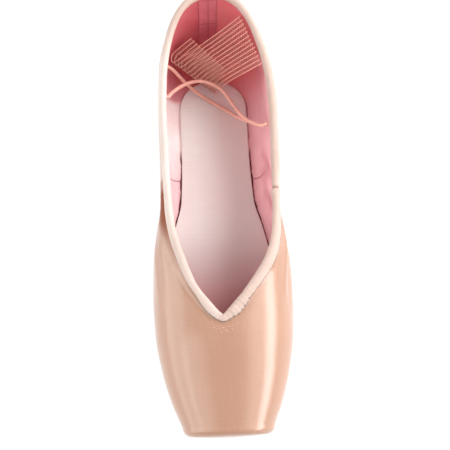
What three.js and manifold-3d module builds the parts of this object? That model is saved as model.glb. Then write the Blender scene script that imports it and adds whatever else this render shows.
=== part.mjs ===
// Satin pointe shoe in millimetres: +Z up, toe towards -Y, standing unbent on its sole at z = 0.
import * as THREE from 'three';
import { mergeVertices } from 'three/addons/utils/BufferGeometryUtils.js';
import Module from 'manifold-3d';

const wasm = await Module();
wasm.setup();

// Sizes of the last: stations are measured forward from the back of the heel
const MIDDLE_STATION = 118.33;
const LINES = {
  seat: { back: 18, front: 228.6 },
  wall: { back: 1.5, front: 231.4 },
  rim: { back: 0, front: 234.4 },
};

// One row per section of the last. share is how far along each line the section is cut,
// wall and wide are the half width and height of the widest line,
// seat and floor are the half width and height of the flat underside,
// rim is the height of the collar or crown, mouth is its half width where it is open,
// and lean is how far the collar stands to the right of the middle.
const SECTION_COLUMNS = ['share', 'wall', 'wide', 'seat', 'floor', 'rim', 'mouth', 'lean'];
const SECTIONS = [
  [0.00, 30.0, 27.0, 20.3, 3.3, 64.0, 30.8, 0.0],
  [0.12, 31.2, 28.0, 20.3, 3.3, 56.5, 30.8, 0.6],
  [0.26, 31.8, 28.5, 20.3, 3.3, 48.5, 30.9, 1.3],
  [0.40, 31.5, 28.0, 21.3, 4.6, 44.0, 30.2, 1.4],
  [0.48, 31.8, 26.0, 25.2, 5.0, 43.6, 29.4, 1.4],
  [0.55, 33.8, 23.5, 28.0, 4.4, 45.2, 29.0, 1.6],
  [0.63, 36.3, 22.0, 29.0, 3.5, 47.4, 29.0, 1.8],
  [0.72, 36.7, 21.0, 29.3, 3.3, 48.8, 29.0, -0.4],
  [0.80, 35.8, 20.2, 28.4, 3.3, 47.0, 29.0, -1.2],
  [0.88, 32.6, 19.3, 25.0, 3.9, 41.9, 29.0, -0.8],
  [0.94, 28.7, 18.7, 21.0, 4.6, 38.0, 29.0, -0.4],
  [1.00, 23.2, 18.3, 15.5, 5.6, 34.0, 29.0, 0.0],
];

// How the heel rounds off each line, and how the throat closes to its point
const WALL_HEEL = { reach: 0.14, power: 2.3 };
const SEAT_HEEL = { reach: 0.10, power: 2.1 };
const MOUTH_HEEL = { reach: 0.30, power: 2.3 };
const THROAT_TIP = 0.778;
const THROAT_LENGTH = 0.31;
const THROAT_BOW = 2.5;
const THROAT_POWER = 0.87;
const LOWER_POWER = 2.4;
const UPPER_POWER = 2.3;

// Wall of cloth at the quarters, stiffened with glue and paper round the toes
const CLOTH_WALL = 1.8;
const BOX_WALL = 2.6;
const BOX_START = 0.55;
const BOX_FULL = 0.75;

// The platform's rounded edge and slight dome
const EDGE_RADIUS = 4.5;
const DOME = 1.0;

// The gap kept between pieces that touch
const GAP = 0.3;

// Outsole: half width and thickness along its own length
const SOLE = { back: 19.5, front: 210, lap: 5, least: 8, bevel: 1.0 };
const SOLE_HEEL = { reach: 0.085, power: 2.0 };
const SOLE_TOE = { reach: 0.10, power: 2.0 };
const SOLE_COLUMNS = ['share', 'half', 'thick'];
const SOLE_SECTIONS = [
  [0.0, 17.5, 3.0],
  [0.2, 17.2, 3.0],
  [0.4, 14.6, 3.0],
  [0.5, 16.0, 3.0],
  [0.6, 20.5, 3.0],
  [0.7, 24.2, 3.0],
  [0.8, 25.2, 3.0],
  [0.9, 22.5, 3.0],
  [1.0, 16.0, 2.4],
];

// Insole: lies on the turned-in edge of the upper
const INSOLE = { back: 22.5, front: 219, thick: 2.0, inset: 0.6, bevel: 0.6 };
const INSOLE_HEEL = { reach: 0.10, power: 2.2 };
const INSOLE_TOE = { reach: 0.07, power: 2.0 };

// Binding: the drawstring casing rolled over the collar's edge
const BINDING = { thick: 2.35, deep: 2.7, drop: 0.6, sides: 12 };

// Drawstring loop: x, station and height of each point, from one end in the casing to the other
const CORD_DIAMETER = 2.0;
const CORD_ROUTE = [
  [27.7, 74.6, 45.8],
  [25.4, 72.2, 40.4],
  [19.9, 64.2, 31.6],
  [15.4, 56.2, 26.0],
  [12.2, 48.6, 22.6],
  [8.8, 41.2, 21.2],
  [4.6, 36.0, 21.6],
  [-0.4, 32.6, 22.8],
  [-6.8, 30.6, 23.6],
  [-14.4, 31.8, 24.4],
  [-20.0, 35.8, 26.4],
  [-24.2, 40.2, 29.8],
  [-26.2, 40.4, 33.4],
  [-26.8, 36.0, 35.6],
  [-25.8, 31.4, 33.6],
  [-23.6, 28.2, 29.6],
  [-19.4, 27.6, 23.6],
  [-14.4, 29.4, 16.0],
  [-7.6, 31.8, 9.6],
  [-0.2, 37.6, 8.8],
  [7.0, 44.2, 11.4],
  [13.6, 53.6, 18.0],
  [19.6, 61.6, 26.4],
  [25.4, 69.2, 35.4],
  [27.8, 73.0, 43.2],
];

// Heel elastic: x, station and height of its two long edges, from the tacked end to the free end
const ELASTIC_THICK = 0.8;
const ELASTIC_COLUMNS = ['x1', 'station1', 'z1', 'x2', 'station2', 'z2'];
const ELASTIC_SECTIONS = [
  [16.4, 9.0, 55.0, 27.6, 37.0, 47.2],
  [4.0, 12.0, 44.0, 17.6, 34.6, 33.6],
  [-8.0, 14.8, 34.4, 10.0, 32.6, 22.4],
  [-18.0, 17.3, 28.0, 5.0, 31.4, 13.0],
  [-23.2, 18.7, 25.0, 1.8, 31.4, 8.6],
  [-24.8, 18.6, 26.6, 0.2, 30.8, 9.8],
  [-23.6, 17.2, 28.8, 0.8, 29.6, 12.0],
  [-17.0, 13.0, 34.0, 4.0, 27.2, 20.4],
  [-11.4, 10.4, 38.4, 6.6, 25.0, 25.6],
];

// How finely the upper is cut into faces
const HEEL_ROWS = 6;
const HEEL_SHARE = 0.10;
const QUARTER_ROWS = 18;
const THROAT_STEPS = [0.055, 0.030, 0.014, 0.005, 0];
const VAMP_ROWS = 7;
const SEAT_STEPS = 2;
const LOWER_STEPS = 5;
const UPPER_STEPS = 8;

// Smooth curve through one column of a table, without overshoot
function columnCurve(rows, index) {
  const at = rows.map((row) => row[0]);
  const value = rows.map((row) => row[index]);
  const last = rows.length - 1;
  const rise = at.slice(1).map((end, k) => (value[k + 1] - value[k]) / (end - at[k]));
  const slope = value.map((_, k) => {
    if (k === 0) return 0;
    if (k === last) return rise[last - 1];
    if (rise[k - 1] * rise[k] <= 0) return 0;
    return (2 * rise[k - 1] * rise[k]) / (rise[k - 1] + rise[k]);
  });
  return (where) => {
    const x = Math.min(Math.max(where, at[0]), at[last]);
    let k = 0;
    while (k < last - 1 && x > at[k + 1]) k += 1;
    const width = at[k + 1] - at[k];
    const t = (x - at[k]) / width;
    const start = (1 + 2 * t) * (1 - t) * (1 - t) * value[k] + t * (1 - t) * (1 - t) * width * slope[k];
    const end = t * t * (3 - 2 * t) * value[k + 1] - t * t * (1 - t) * width * slope[k + 1];
    return start + end;
  };
}

function tableCurves(columns, rows) {
  return Object.fromEntries(columns.map((name, index) => [name, columnCurve(rows, index)]));
}

const last = tableCurves(SECTION_COLUMNS, SECTIONS);
const sole = tableCurves(SOLE_COLUMNS, SOLE_SECTIONS);

// Rises from 0 to 1 like the end of a superellipse
function roundOff(share, { reach, power }) {
  const left = Math.max(1 - share / reach, 0);
  return Math.pow(1 - Math.pow(left, power), 1 / power);
}

function station(line, share) {
  return LINES[line].back + (LINES[line].front - LINES[line].back) * share;
}

function seatShare(at) {
  return (at - LINES.seat.back) / (LINES.seat.front - LINES.seat.back);
}

function wallThickness(share) {
  return CLOTH_WALL + (BOX_WALL - CLOTH_WALL) * THREE.MathUtils.smoothstep(share, BOX_START, BOX_FULL);
}

function mouthHalf(share) {
  const open = Math.min(Math.max((THROAT_TIP - share) / THROAT_LENGTH, 0), 1);
  const throat = Math.pow(1 - Math.pow(1 - open, THROAT_BOW), THROAT_POWER);
  return last.mouth(share) * roundOff(share, MOUTH_HEEL) * throat;
}

function soleHalf(at) {
  const share = (at - SOLE.back) / (SOLE.front - SOLE.back);
  if (share <= 0 || share >= 1) return 0;
  return sole.half(share) * roundOff(share, SOLE_HEEL) * roundOff(1 - share, SOLE_TOE);
}

// Half width of the opening under the foot that the outsole closes
function openHalf(share) {
  const half = soleHalf(station('seat', share)) - SOLE.lap;
  return half > SOLE.least ? half : 0;
}

// A point of the outer surface. turn goes 0 to 1 across the flat seat, 1 to 2 up to the widest
// line and 2 to 3 on to the mouth or the crown.
function surfacePoint(share, side, turn) {
  const inside = Math.max(share, 1e-6);
  const onMiddle = share === 0 ? 0 : 1;
  const wallHalf = last.wall(inside) * roundOff(inside, WALL_HEEL);
  const seatHalf = last.seat(inside) * roundOff(inside, SEAT_HEEL);
  const seatAt = station('seat', share);
  const wallAt = station('wall', share);
  const rimAt = station('rim', share);
  const wide = last.wide(share);
  const floor = last.floor(share);
  let half;
  let height;
  let at;
  let lean = 0;
  if (turn <= 1) {
    const open = openHalf(share);
    half = open + (seatHalf - open) * turn;
    height = floor;
    at = seatAt;
  } else if (turn <= 2) {
    const angle = ((turn - 1) * Math.PI) / 2;
    const out = Math.pow(Math.sin(angle), 2 / LOWER_POWER);
    const down = Math.pow(Math.max(Math.cos(angle), 0), 2 / LOWER_POWER);
    half = seatHalf + (wallHalf - seatHalf) * out;
    height = wide - (wide - floor) * down;
    at = seatAt + (wallAt - seatAt) * (out + (1 - down - out) * share);
  } else {
    const ratio = Math.min(mouthHalf(inside) / wallHalf, 1);
    const lastAngle = Math.acos(Math.pow(ratio, UPPER_POWER / 2));
    const angle = (turn - 2) * lastAngle;
    const climb = Math.pow(Math.sin(angle) / Math.sin(lastAngle), 2 / UPPER_POWER);
    half = turn === 3 ? mouthHalf(inside) : wallHalf * Math.pow(Math.cos(angle), 2 / UPPER_POWER);
    height = wide + (last.rim(share) - wide) * climb;
    at = wallAt + (rimAt - wallAt) * climb;
    lean = last.lean(share) * THREE.MathUtils.smoothstep(turn, 2, 3);
  }
  return new THREE.Vector3(onMiddle * (side * half + lean), MIDDLE_STATION - at, height);
}

function sectionShares() {
  const shares = [];
  for (let i = 0; i < HEEL_ROWS; i += 1) {
    shares.push(HEEL_SHARE * (1 - Math.cos((i / HEEL_ROWS) * (Math.PI / 2))));
  }
  const throatStart = THROAT_TIP - THROAT_STEPS[0];
  for (let i = 0; i < QUARTER_ROWS; i += 1) {
    shares.push(HEEL_SHARE + (throatStart - HEEL_SHARE) * (i / QUARTER_ROWS));
  }
  THROAT_STEPS.forEach((step) => shares.push(THROAT_TIP - step));
  for (let i = 1; i <= VAMP_ROWS; i += 1) {
    shares.push(THROAT_TIP + (1 - THROAT_TIP) * (i / VAMP_ROWS));
  }
  return shares;
}

// Every turn at which a section is sampled
function sectionTurns() {
  const turns = [];
  for (let i = 0; i < SEAT_STEPS; i += 1) turns.push(i / SEAT_STEPS);
  for (let i = 0; i < LOWER_STEPS; i += 1) turns.push(1 + i / LOWER_STEPS);
  for (let i = 0; i <= UPPER_STEPS; i += 1) turns.push(2 + i / UPPER_STEPS);
  return turns;
}

// Sections from the heel to the platform, each as a right and a left run of points
function upperRows() {
  const turns = sectionTurns();
  const rows = sectionShares().map((share) => ({
    wall: wallThickness(share),
    right: turns.map((turn) => surfacePoint(share, 1, turn)),
    left: turns.map((turn) => surfacePoint(share, -1, turn)),
  }));
  const toe = rows[rows.length - 1];
  const box = new THREE.Box3().setFromPoints([...toe.right, ...toe.left]);
  const middle = box.getCenter(new THREE.Vector3());
  const size = box.getSize(new THREE.Vector3());
  const shrink = (points, inset, forward, dome) => points.map((point) => {
    const wide = (1 - inset / (size.x / 2)) * dome;
    const tall = (1 - inset / (size.z / 2)) * dome;
    const y = middle.y + (point.y - middle.y) * tall - forward;
    return new THREE.Vector3(
      middle.x + (point.x - middle.x) * wide,
      y,
      middle.z + (point.z - middle.z) * tall,
    );
  });
  const addRow = (inset, forward, dome) => rows.push({
    wall: BOX_WALL,
    right: shrink(toe.right, inset, forward, dome),
    left: shrink(toe.left, inset, forward, dome),
  });
  [25, 50, 75, 90].forEach((degrees) => {
    const angle = THREE.MathUtils.degToRad(degrees);
    addRow(EDGE_RADIUS * (1 - Math.cos(angle)), EDGE_RADIUS * Math.sin(angle), 1);
  });
  addRow(EDGE_RADIUS, EDGE_RADIUS + DOME * 0.75, 0.5);
  addRow(EDGE_RADIUS, EDGE_RADIUS + DOME, 0);
  return rows;
}

// The upper's outer surface as one welded sheet, with its normals and its open edges
function upperSheet() {
  const points = [];
  const walls = [];
  const faces = [];
  const known = new Map();
  const vertex = (point, wall) => {
    const key = [point.x, point.y, point.z].map((v) => Math.round(v * 1000)).join();
    if (!known.has(key)) {
      known.set(key, points.length);
      points.push(point);
      walls.push(wall);
    }
    return known.get(key);
  };
  const addFace = (a, b, c) => {
    if (a !== b && b !== c && a !== c) faces.push([a, b, c]);
  };
  const grids = { right: [], left: [] };
  upperRows().forEach((row) => {
    grids.right.push(row.right.map((point) => vertex(point, row.wall)));
    grids.left.push(row.left.map((point) => vertex(point, row.wall)));
  });
  ['right', 'left'].forEach((side) => {
    const grid = grids[side];
    for (let r = 0; r + 1 < grid.length; r += 1) {
      for (let c = 0; c + 1 < grid[r].length; c += 1) {
        const [a, b, d, e] = [grid[r][c], grid[r][c + 1], grid[r + 1][c], grid[r + 1][c + 1]];
        if (side === 'right') {
          addFace(a, b, e);
          addFace(a, e, d);
        } else {
          addFace(a, e, b);
          addFace(a, d, e);
        }
      }
    }
  });
  const normals = points.map(() => new THREE.Vector3());
  faces.forEach(([a, b, c]) => {
    const first = points[b].clone().sub(points[a]);
    const second = points[c].clone().sub(points[a]);
    const normal = first.cross(second);
    [a, b, c].forEach((id) => normals[id].add(normal));
  });
  normals.forEach((normal) => normal.normalize());
  const edges = new Set(faces.flatMap(([a, b, c]) => [`${a},${b}`, `${b},${c}`, `${c},${a}`]));
  const next = new Map();
  edges.forEach((edge) => {
    const [a, b] = edge.split(',').map(Number);
    if (!edges.has(`${b},${a}`)) next.set(a, b);
  });
  // Direction out over an open edge, in the surface
  const outward = new Map([...next.keys()].map((id) => [id, new THREE.Vector3()]));
  next.forEach((b, a) => {
    const along = points[b].clone().sub(points[a]).normalize();
    [a, b].forEach((id) => outward.get(id).add(along.clone().cross(normals[id])));
  });
  outward.forEach((direction) => direction.normalize());
  return { points, walls, faces, normals, next, outward };
}

const sheet = upperSheet();

function makeGeometry(points, faces) {
  const geometry = new THREE.BufferGeometry();
  const position = points.flatMap((point) => [point.x, point.y, point.z]);
  geometry.setAttribute('position', new THREE.Float32BufferAttribute(position, 3));
  geometry.setIndex(faces.flat());
  return geometry;
}

// The upper as a solid wall, grown on every side by swell
function upperShell(swell) {
  const count = sheet.points.length;
  const lift = (id) => (sheet.outward.has(id) ? sheet.outward.get(id).clone().multiplyScalar(swell)
    : new THREE.Vector3());
  const outer = sheet.points.map((point, id) => lift(id).add(point)
    .addScaledVector(sheet.normals[id], swell));
  const inner = sheet.points.map((point, id) => lift(id).add(point)
    .addScaledVector(sheet.normals[id], -sheet.walls[id] - swell));
  const faces = [...sheet.faces];
  sheet.faces.forEach(([a, b, c]) => faces.push([a + count, c + count, b + count]));
  sheet.next.forEach((b, a) => {
    faces.push([b, a, a + count]);
    faces.push([b, a + count, b + count]);
  });
  return makeGeometry([...outer, ...inner], faces);
}

// A solid skinned over rings of points that all run the same way round
function ringSolid(rings, closed) {
  const count = rings[0].length;
  const points = rings.flat();
  const faces = [];
  const spans = closed ? rings.length : rings.length - 1;
  for (let r = 0; r < spans; r += 1) {
    const from = r * count;
    const to = ((r + 1) % rings.length) * count;
    for (let c = 0; c < count; c += 1) {
      const d = (c + 1) % count;
      faces.push([from + c, from + d, to + d]);
      faces.push([from + c, to + d, to + c]);
    }
  }
  if (!closed) {
    const end = (rings.length - 1) * count;
    for (let c = 1; c + 1 < count; c += 1) {
      faces.push([0, c + 1, c]);
      faces.push([end, end + c, end + c + 1]);
    }
  }
  return makeGeometry(points, faces);
}

// Stations from one end of a sole to the other, closer together at its rounded ends
function soleStations(from, to, ends) {
  const stations = [];
  [0.02, 0.07, 0.16, 0.3, 0.5, 0.75].forEach((part) => stations.push(from + ends * part));
  for (let i = 0; i <= 24; i += 1) stations.push(from + ends + ((to - from - 2 * ends) * i) / 24);
  [0.75, 0.5, 0.3, 0.16, 0.07, 0.02].forEach((part) => stations.push(to - ends * part));
  return stations;
}

function soleRing(at, half, top, thick, bevelTop, bevelBottom) {
  const y = MIDDLE_STATION - at;
  const upper = Math.max(half - bevelTop, 0.2);
  const lower = Math.max(half - bevelBottom, 0.2);
  return [
    new THREE.Vector3(-upper, y, top),
    new THREE.Vector3(-half, y, top - bevelTop),
    new THREE.Vector3(-half, y, top - thick + bevelBottom),
    new THREE.Vector3(-lower, y, top - thick),
    new THREE.Vector3(lower, y, top - thick),
    new THREE.Vector3(half, y, top - thick + bevelBottom),
    new THREE.Vector3(half, y, top - bevelTop),
    new THREE.Vector3(upper, y, top),
  ];
}

// Outsole
function outsoleGeometry() {
  const rings = soleStations(SOLE.back, SOLE.front, 17).map((at) => {
    const share = (at - SOLE.back) / (SOLE.front - SOLE.back);
    const top = last.floor(seatShare(at)) - GAP;
    return soleRing(at, soleHalf(at), top, sole.thick(share), 0.2, SOLE.bevel);
  });
  return ringSolid(rings, false);
}

// Insole
function insoleGeometry() {
  const rings = soleStations(INSOLE.back, INSOLE.front, 16).map((at) => {
    const share = (at - INSOLE.back) / (INSOLE.front - INSOLE.back);
    const ends = roundOff(share, INSOLE_HEEL) * roundOff(1 - share, INSOLE_TOE);
    const half = (last.seat(seatShare(at)) - INSOLE.inset) * ends;
    const top = last.floor(seatShare(at)) + wallThickness(seatShare(at)) + GAP + INSOLE.thick;
    return soleRing(at, half, top, INSOLE.thick, INSOLE.bevel, 0.2);
  });
  return ringSolid(rings, false);
}

// Binding: an oval roll along the collar, hollowed where it straddles the upper's edge
function collarIds() {
  const ids = [...sheet.next.keys()];
  const start = ids.reduce((best, id) => (sheet.points[id].z > sheet.points[best].z ? id : best));
  const loop = [start];
  while (sheet.next.get(loop[loop.length - 1]) !== start) loop.push(sheet.next.get(loop[loop.length - 1]));
  return loop;
}

function toManifold(geometry) {
  const plain = new THREE.BufferGeometry();
  plain.setAttribute('position', geometry.getAttribute('position'));
  plain.setIndex(geometry.getIndex());
  const merged = mergeVertices(plain, 1e-4);
  const vertProperties = new Float32Array(merged.getAttribute('position').array);
  const triVerts = new Uint32Array(merged.getIndex().array);
  return new wasm.Manifold(new wasm.Mesh({ numProp: 3, vertProperties, triVerts }));
}

function fromManifold(solid) {
  const mesh = solid.getMesh();
  const geometry = new THREE.BufferGeometry();
  geometry.setAttribute('position', new THREE.Float32BufferAttribute(mesh.vertProperties, 3));
  geometry.setIndex(new THREE.Uint32BufferAttribute(mesh.triVerts, 1));
  return geometry;
}

function bindingGeometry() {
  const rings = collarIds().map((id) => {
    const normal = sheet.normals[id];
    const up = sheet.outward.get(id);
    const middle = sheet.points[id].clone()
      .addScaledVector(normal, -sheet.walls[id] / 2)
      .addScaledVector(up, -BINDING.drop);
    const ring = [];
    for (let i = 0; i < BINDING.sides; i += 1) {
      const angle = (i / BINDING.sides) * Math.PI * 2;
      ring.push(middle.clone()
        .addScaledVector(normal, BINDING.thick * Math.cos(angle))
        .addScaledVector(up, BINDING.deep * Math.sin(angle)));
    }
    return ring;
  });
  const roll = toManifold(ringSolid(rings, true));
  const edge = toManifold(upperShell(GAP));
  return fromManifold(roll.subtract(edge));
}

// Drawstring loop
function drawstringGeometry() {
  const route = CORD_ROUTE.map(([x, at, z]) => new THREE.Vector3(x, MIDDLE_STATION - at, z));
  const path = new THREE.CatmullRomCurve3(route, false, 'centripetal');
  const circle = new THREE.Shape();
  for (let i = 0; i < 8; i += 1) {
    const angle = (i / 8) * Math.PI * 2;
    const x = (CORD_DIAMETER / 2) * Math.cos(angle);
    const y = (CORD_DIAMETER / 2) * Math.sin(angle);
    if (i === 0) circle.moveTo(x, y);
    else circle.lineTo(x, y);
  }
  circle.closePath();
  return new THREE.ExtrudeGeometry(circle, { steps: 60, bevelEnabled: false, extrudePath: path });
}

// Heel elastic: a flat strip folded once, with its long edges given section by section
function elasticGeometry() {
  const value = (row, name) => row[ELASTIC_COLUMNS.indexOf(name)];
  const paths = [1, 2].map((side) => new THREE.CatmullRomCurve3(
    ELASTIC_SECTIONS.map((row) => new THREE.Vector3(
      value(row, `x${side}`),
      MIDDLE_STATION - value(row, `station${side}`),
      value(row, `z${side}`),
    )),
  ));
  const steps = (ELASTIC_SECTIONS.length - 1) * 3;
  const rings = [];
  for (let i = 0; i <= steps; i += 1) {
    const [first, second] = paths.map((path) => path.getPoint(i / steps));
    const along = paths.map((path) => path.getTangent(i / steps));
    const across = second.clone().sub(first);
    const lift = along.map((way) => across.clone().cross(way).setLength(ELASTIC_THICK / 2));
    rings.push([
      first.clone().add(lift[0]),
      second.clone().add(lift[1]),
      second.clone().sub(lift[1]),
      first.clone().sub(lift[0]),
    ]);
  }
  return ringSolid(rings, false);
}

// Assembly
const group = new THREE.Group();
group.name = 'pointe_shoe';

function addPiece(name, geometry, colour, roughness) {
  const material = new THREE.MeshStandardMaterial({ color: colour, roughness, metalness: 0 });
  material.name = name;
  geometry.computeVertexNormals();
  const mesh = new THREE.Mesh(geometry, material);
  mesh.name = name;
  group.add(mesh);
}

addPiece('outsole', outsoleGeometry(), '#b98d66', 0.75);
addPiece('upper', upperShell(0), '#d9ab94', 0.4);
addPiece('insole', insoleGeometry(), '#e0cdc8', 0.6);
addPiece('binding', bindingGeometry(), '#f3dfd6', 0.55);
addPiece('drawstring', drawstringGeometry(), '#eec2b4', 0.7);
addPiece('heel_elastic', elasticGeometry(), '#d6978c', 0.8);

export default group;
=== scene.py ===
import math

import bpy
import numpy as np
from mathutils import Matrix, Vector
from mathutils.bvhtree import BVHTree
from mathutils.kdtree import KDTree


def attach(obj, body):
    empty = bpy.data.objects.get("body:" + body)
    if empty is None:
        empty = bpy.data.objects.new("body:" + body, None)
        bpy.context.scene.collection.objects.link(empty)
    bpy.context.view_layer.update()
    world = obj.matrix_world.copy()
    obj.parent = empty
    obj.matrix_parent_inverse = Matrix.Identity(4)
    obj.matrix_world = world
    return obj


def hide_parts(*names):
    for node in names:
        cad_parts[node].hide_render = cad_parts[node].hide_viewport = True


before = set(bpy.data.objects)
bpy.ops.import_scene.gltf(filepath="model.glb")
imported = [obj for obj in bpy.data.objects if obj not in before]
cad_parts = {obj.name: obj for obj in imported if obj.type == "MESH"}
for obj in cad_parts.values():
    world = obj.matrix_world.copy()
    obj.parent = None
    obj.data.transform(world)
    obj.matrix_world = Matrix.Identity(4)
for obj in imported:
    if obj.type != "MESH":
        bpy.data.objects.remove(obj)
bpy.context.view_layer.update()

# Upper: satin over canvas, sewn inside out, turned and pulled over the last.
# Its edge is drawn in under the foot in pleats, and glue and paper stiffen it round the toes.
# Sizes here and below are millimetres, and stations run forward from the back of the heel.
MM = 0.001
MIDDLE_STATION = 118.33
SEAT_LINE = (18.0, 228.6)
WALL_LINE = (1.5, 231.4)
RIM_LINE = (0.0, 234.4)

# One row per section of the last: its share of the length, half width and height of the widest
# line, half width and height of the seat, rim height, half width of the mouth, lean to the right
WALL, WIDE, SEAT, FLOOR, RIM, MOUTH, LEAN = range(1, 8)
LAST = np.array([
    (0.00, 30.0, 27.0, 20.3, 3.3, 64.0, 30.8, 0.0),
    (0.12, 31.2, 28.0, 20.3, 3.3, 56.5, 30.8, 0.6),
    (0.26, 31.8, 28.5, 20.3, 3.3, 48.5, 30.9, 1.3),
    (0.40, 31.5, 28.0, 21.3, 4.6, 44.0, 30.2, 1.4),
    (0.48, 31.8, 26.0, 25.2, 5.0, 43.6, 29.4, 1.4),
    (0.55, 33.8, 23.5, 28.0, 4.4, 45.2, 29.0, 1.6),
    (0.63, 36.3, 22.0, 29.0, 3.5, 47.4, 29.0, 1.8),
    (0.72, 36.7, 21.0, 29.3, 3.3, 48.8, 29.0, -0.4),
    (0.80, 35.8, 20.2, 28.4, 3.3, 47.0, 29.0, -1.2),
    (0.88, 32.6, 19.3, 25.0, 3.9, 41.9, 29.0, -0.8),
    (0.94, 28.7, 18.7, 21.0, 4.6, 38.0, 29.0, -0.4),
    (1.00, 23.2, 18.3, 15.5, 5.6, 34.0, 29.0, 0.0),
])
WALL_HEEL = (0.14, 2.3)
SEAT_HEEL = (0.10, 2.1)
MOUTH_HEEL = (0.30, 2.3)
THROAT_TIP = 0.778
THROAT_LENGTH = 0.31
THROAT_BOW = 2.5
THROAT_POWER = 0.87
LOWER_POWER = 2.4
UPPER_POWER = 2.3
CLOTH_WALL = 1.8
BOX_WALL = 2.6
BOX_START = 0.55
BOX_FULL = 0.75
EDGE_RADIUS = 4.5
DOME = 1.0

# The sole's outline, which the drawn-in edge of the upper follows: share, half width, thickness
SOLE_BACK = 19.5
SOLE_FRONT = 210.0
SOLE_LAP = 5.0
SOLE_LEAST = 8.0
SOLE_HEEL = (0.085, 2.0)
SOLE_TOE = (0.10, 2.0)
SOLE_HALF, SOLE_THICK = 1, 2
SOLE = np.array([
    (0.0, 17.5, 3.0),
    (0.2, 17.2, 3.0),
    (0.4, 14.6, 3.0),
    (0.5, 16.0, 3.0),
    (0.6, 20.5, 3.0),
    (0.7, 24.2, 3.0),
    (0.8, 25.2, 3.0),
    (0.9, 22.5, 3.0),
    (1.0, 16.0, 2.4),
])


def smooth_step(value, low, high):
    share = np.clip((value - low) / (high - low), 0, 1)
    return share * share * (3 - 2 * share)


def rise_and_fall(value, start, full, fade, end):
    return smooth_step(value, start, full) * (1 - smooth_step(value, fade, end))


def bell(value, middle, width):
    return np.exp(-((value - middle) / width) ** 2)


def table_curve(table, column, where):
    """Smooth curve through one column of a table, without overshoot."""
    at = table[:, 0]
    value = table[:, column]
    rise = np.diff(value) / np.diff(at)
    slope = np.zeros(len(at))
    for k in range(1, len(at) - 1):
        if rise[k - 1] * rise[k] > 0:
            slope[k] = 2 * rise[k - 1] * rise[k] / (rise[k - 1] + rise[k])
    slope[-1] = rise[-1]
    where = np.clip(where, at[0], at[-1])
    k = np.clip(np.searchsorted(at, where) - 1, 0, len(rise) - 1)
    width = at[k + 1] - at[k]
    t = (where - at[k]) / width
    start = (1 + 2 * t) * (1 - t) ** 2 * value[k] + t * (1 - t) ** 2 * width * slope[k]
    end = t * t * (3 - 2 * t) * value[k + 1] - t * t * (1 - t) * width * slope[k + 1]
    return start + end


def round_off(share, reach, power):
    """Rises from 0 to 1 like the end of a superellipse."""
    left = np.clip(1 - share / reach, 0, 1)
    return (1 - left ** power) ** (1 / power)


def line_station(line, share):
    return line[0] + (line[1] - line[0]) * share


def seat_share(station):
    return (station - SEAT_LINE[0]) / (SEAT_LINE[1] - SEAT_LINE[0])


def wall_thickness(share):
    return CLOTH_WALL + (BOX_WALL - CLOTH_WALL) * smooth_step(share, BOX_START, BOX_FULL)


def mouth_half(share):
    open_share = np.clip((THROAT_TIP - share) / THROAT_LENGTH, 0, 1)
    throat = (1 - (1 - open_share) ** THROAT_BOW) ** THROAT_POWER
    return table_curve(LAST, MOUTH, share) * round_off(share, *MOUTH_HEEL) * throat


def sole_half(station):
    share = (station - SOLE_BACK) / (SOLE_FRONT - SOLE_BACK)
    ends = round_off(share, *SOLE_HEEL) * round_off(1 - share, *SOLE_TOE)
    return np.where((share > 0) & (share < 1), table_curve(SOLE, SOLE_HALF, share) * ends, 0)


def open_half(share):
    half = sole_half(line_station(SEAT_LINE, share)) - SOLE_LAP
    return np.where(half > SOLE_LEAST, half, 0)


def last_points(share, side, turn):
    """Points of the last, a row for each share and a column for each turn: 0 to 1 crosses the seat,
    1 to 2 climbs to the widest line, and 2 to 3 goes on to the mouth or the crown."""
    share = np.asarray(share, float)[:, None]
    turn = np.asarray(turn, float)[None, :]
    inside = np.maximum(share, 1e-6)
    wall = table_curve(LAST, WALL, inside) * round_off(inside, *WALL_HEEL)
    seat = table_curve(LAST, SEAT, inside) * round_off(inside, *SEAT_HEEL)
    mouth = mouth_half(inside)
    wide = table_curve(LAST, WIDE, share)
    floor = table_curve(LAST, FLOOR, share)
    rim = table_curve(LAST, RIM, share)
    seat_at = line_station(SEAT_LINE, share)
    wall_at = line_station(WALL_LINE, share)
    rim_at = line_station(RIM_LINE, share)
    drawn_in = open_half(share)
    low_angle = np.clip(turn - 1, 0, 1) * math.pi / 2
    out = np.sin(low_angle) ** (2 / LOWER_POWER)
    down = np.maximum(np.cos(low_angle), 0) ** (2 / LOWER_POWER)
    last_angle = np.arccos(np.minimum(mouth / wall, 1) ** (UPPER_POWER / 2))
    high_angle = np.clip(turn - 2, 0, 1) * last_angle
    climb = (np.sin(high_angle) / np.sin(last_angle)) ** (2 / UPPER_POWER)
    round_half = np.maximum(np.cos(high_angle), 0) ** (2 / UPPER_POWER)
    half = np.where(turn <= 2, seat + (wall - seat) * out, wall * round_half)
    half = np.where(turn <= 1, drawn_in + (seat - drawn_in) * turn, half)
    half = np.where(turn >= 3, mouth, half)
    height = np.where(turn <= 2, wide - (wide - floor) * down, wide + (rim - wide) * climb)
    low_at = seat_at + (wall_at - seat_at) * (out + (1 - down - out) * share)
    station = np.where(turn <= 2, low_at, wall_at + (rim_at - wall_at) * climb)
    lean = table_curve(LAST, LEAN, share) * smooth_step(turn, 2, 3)
    x = np.where(share > 0, side * half + lean, 0)
    return np.stack([x, MIDDLE_STATION - station, height + 0 * x], axis=-1)


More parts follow.
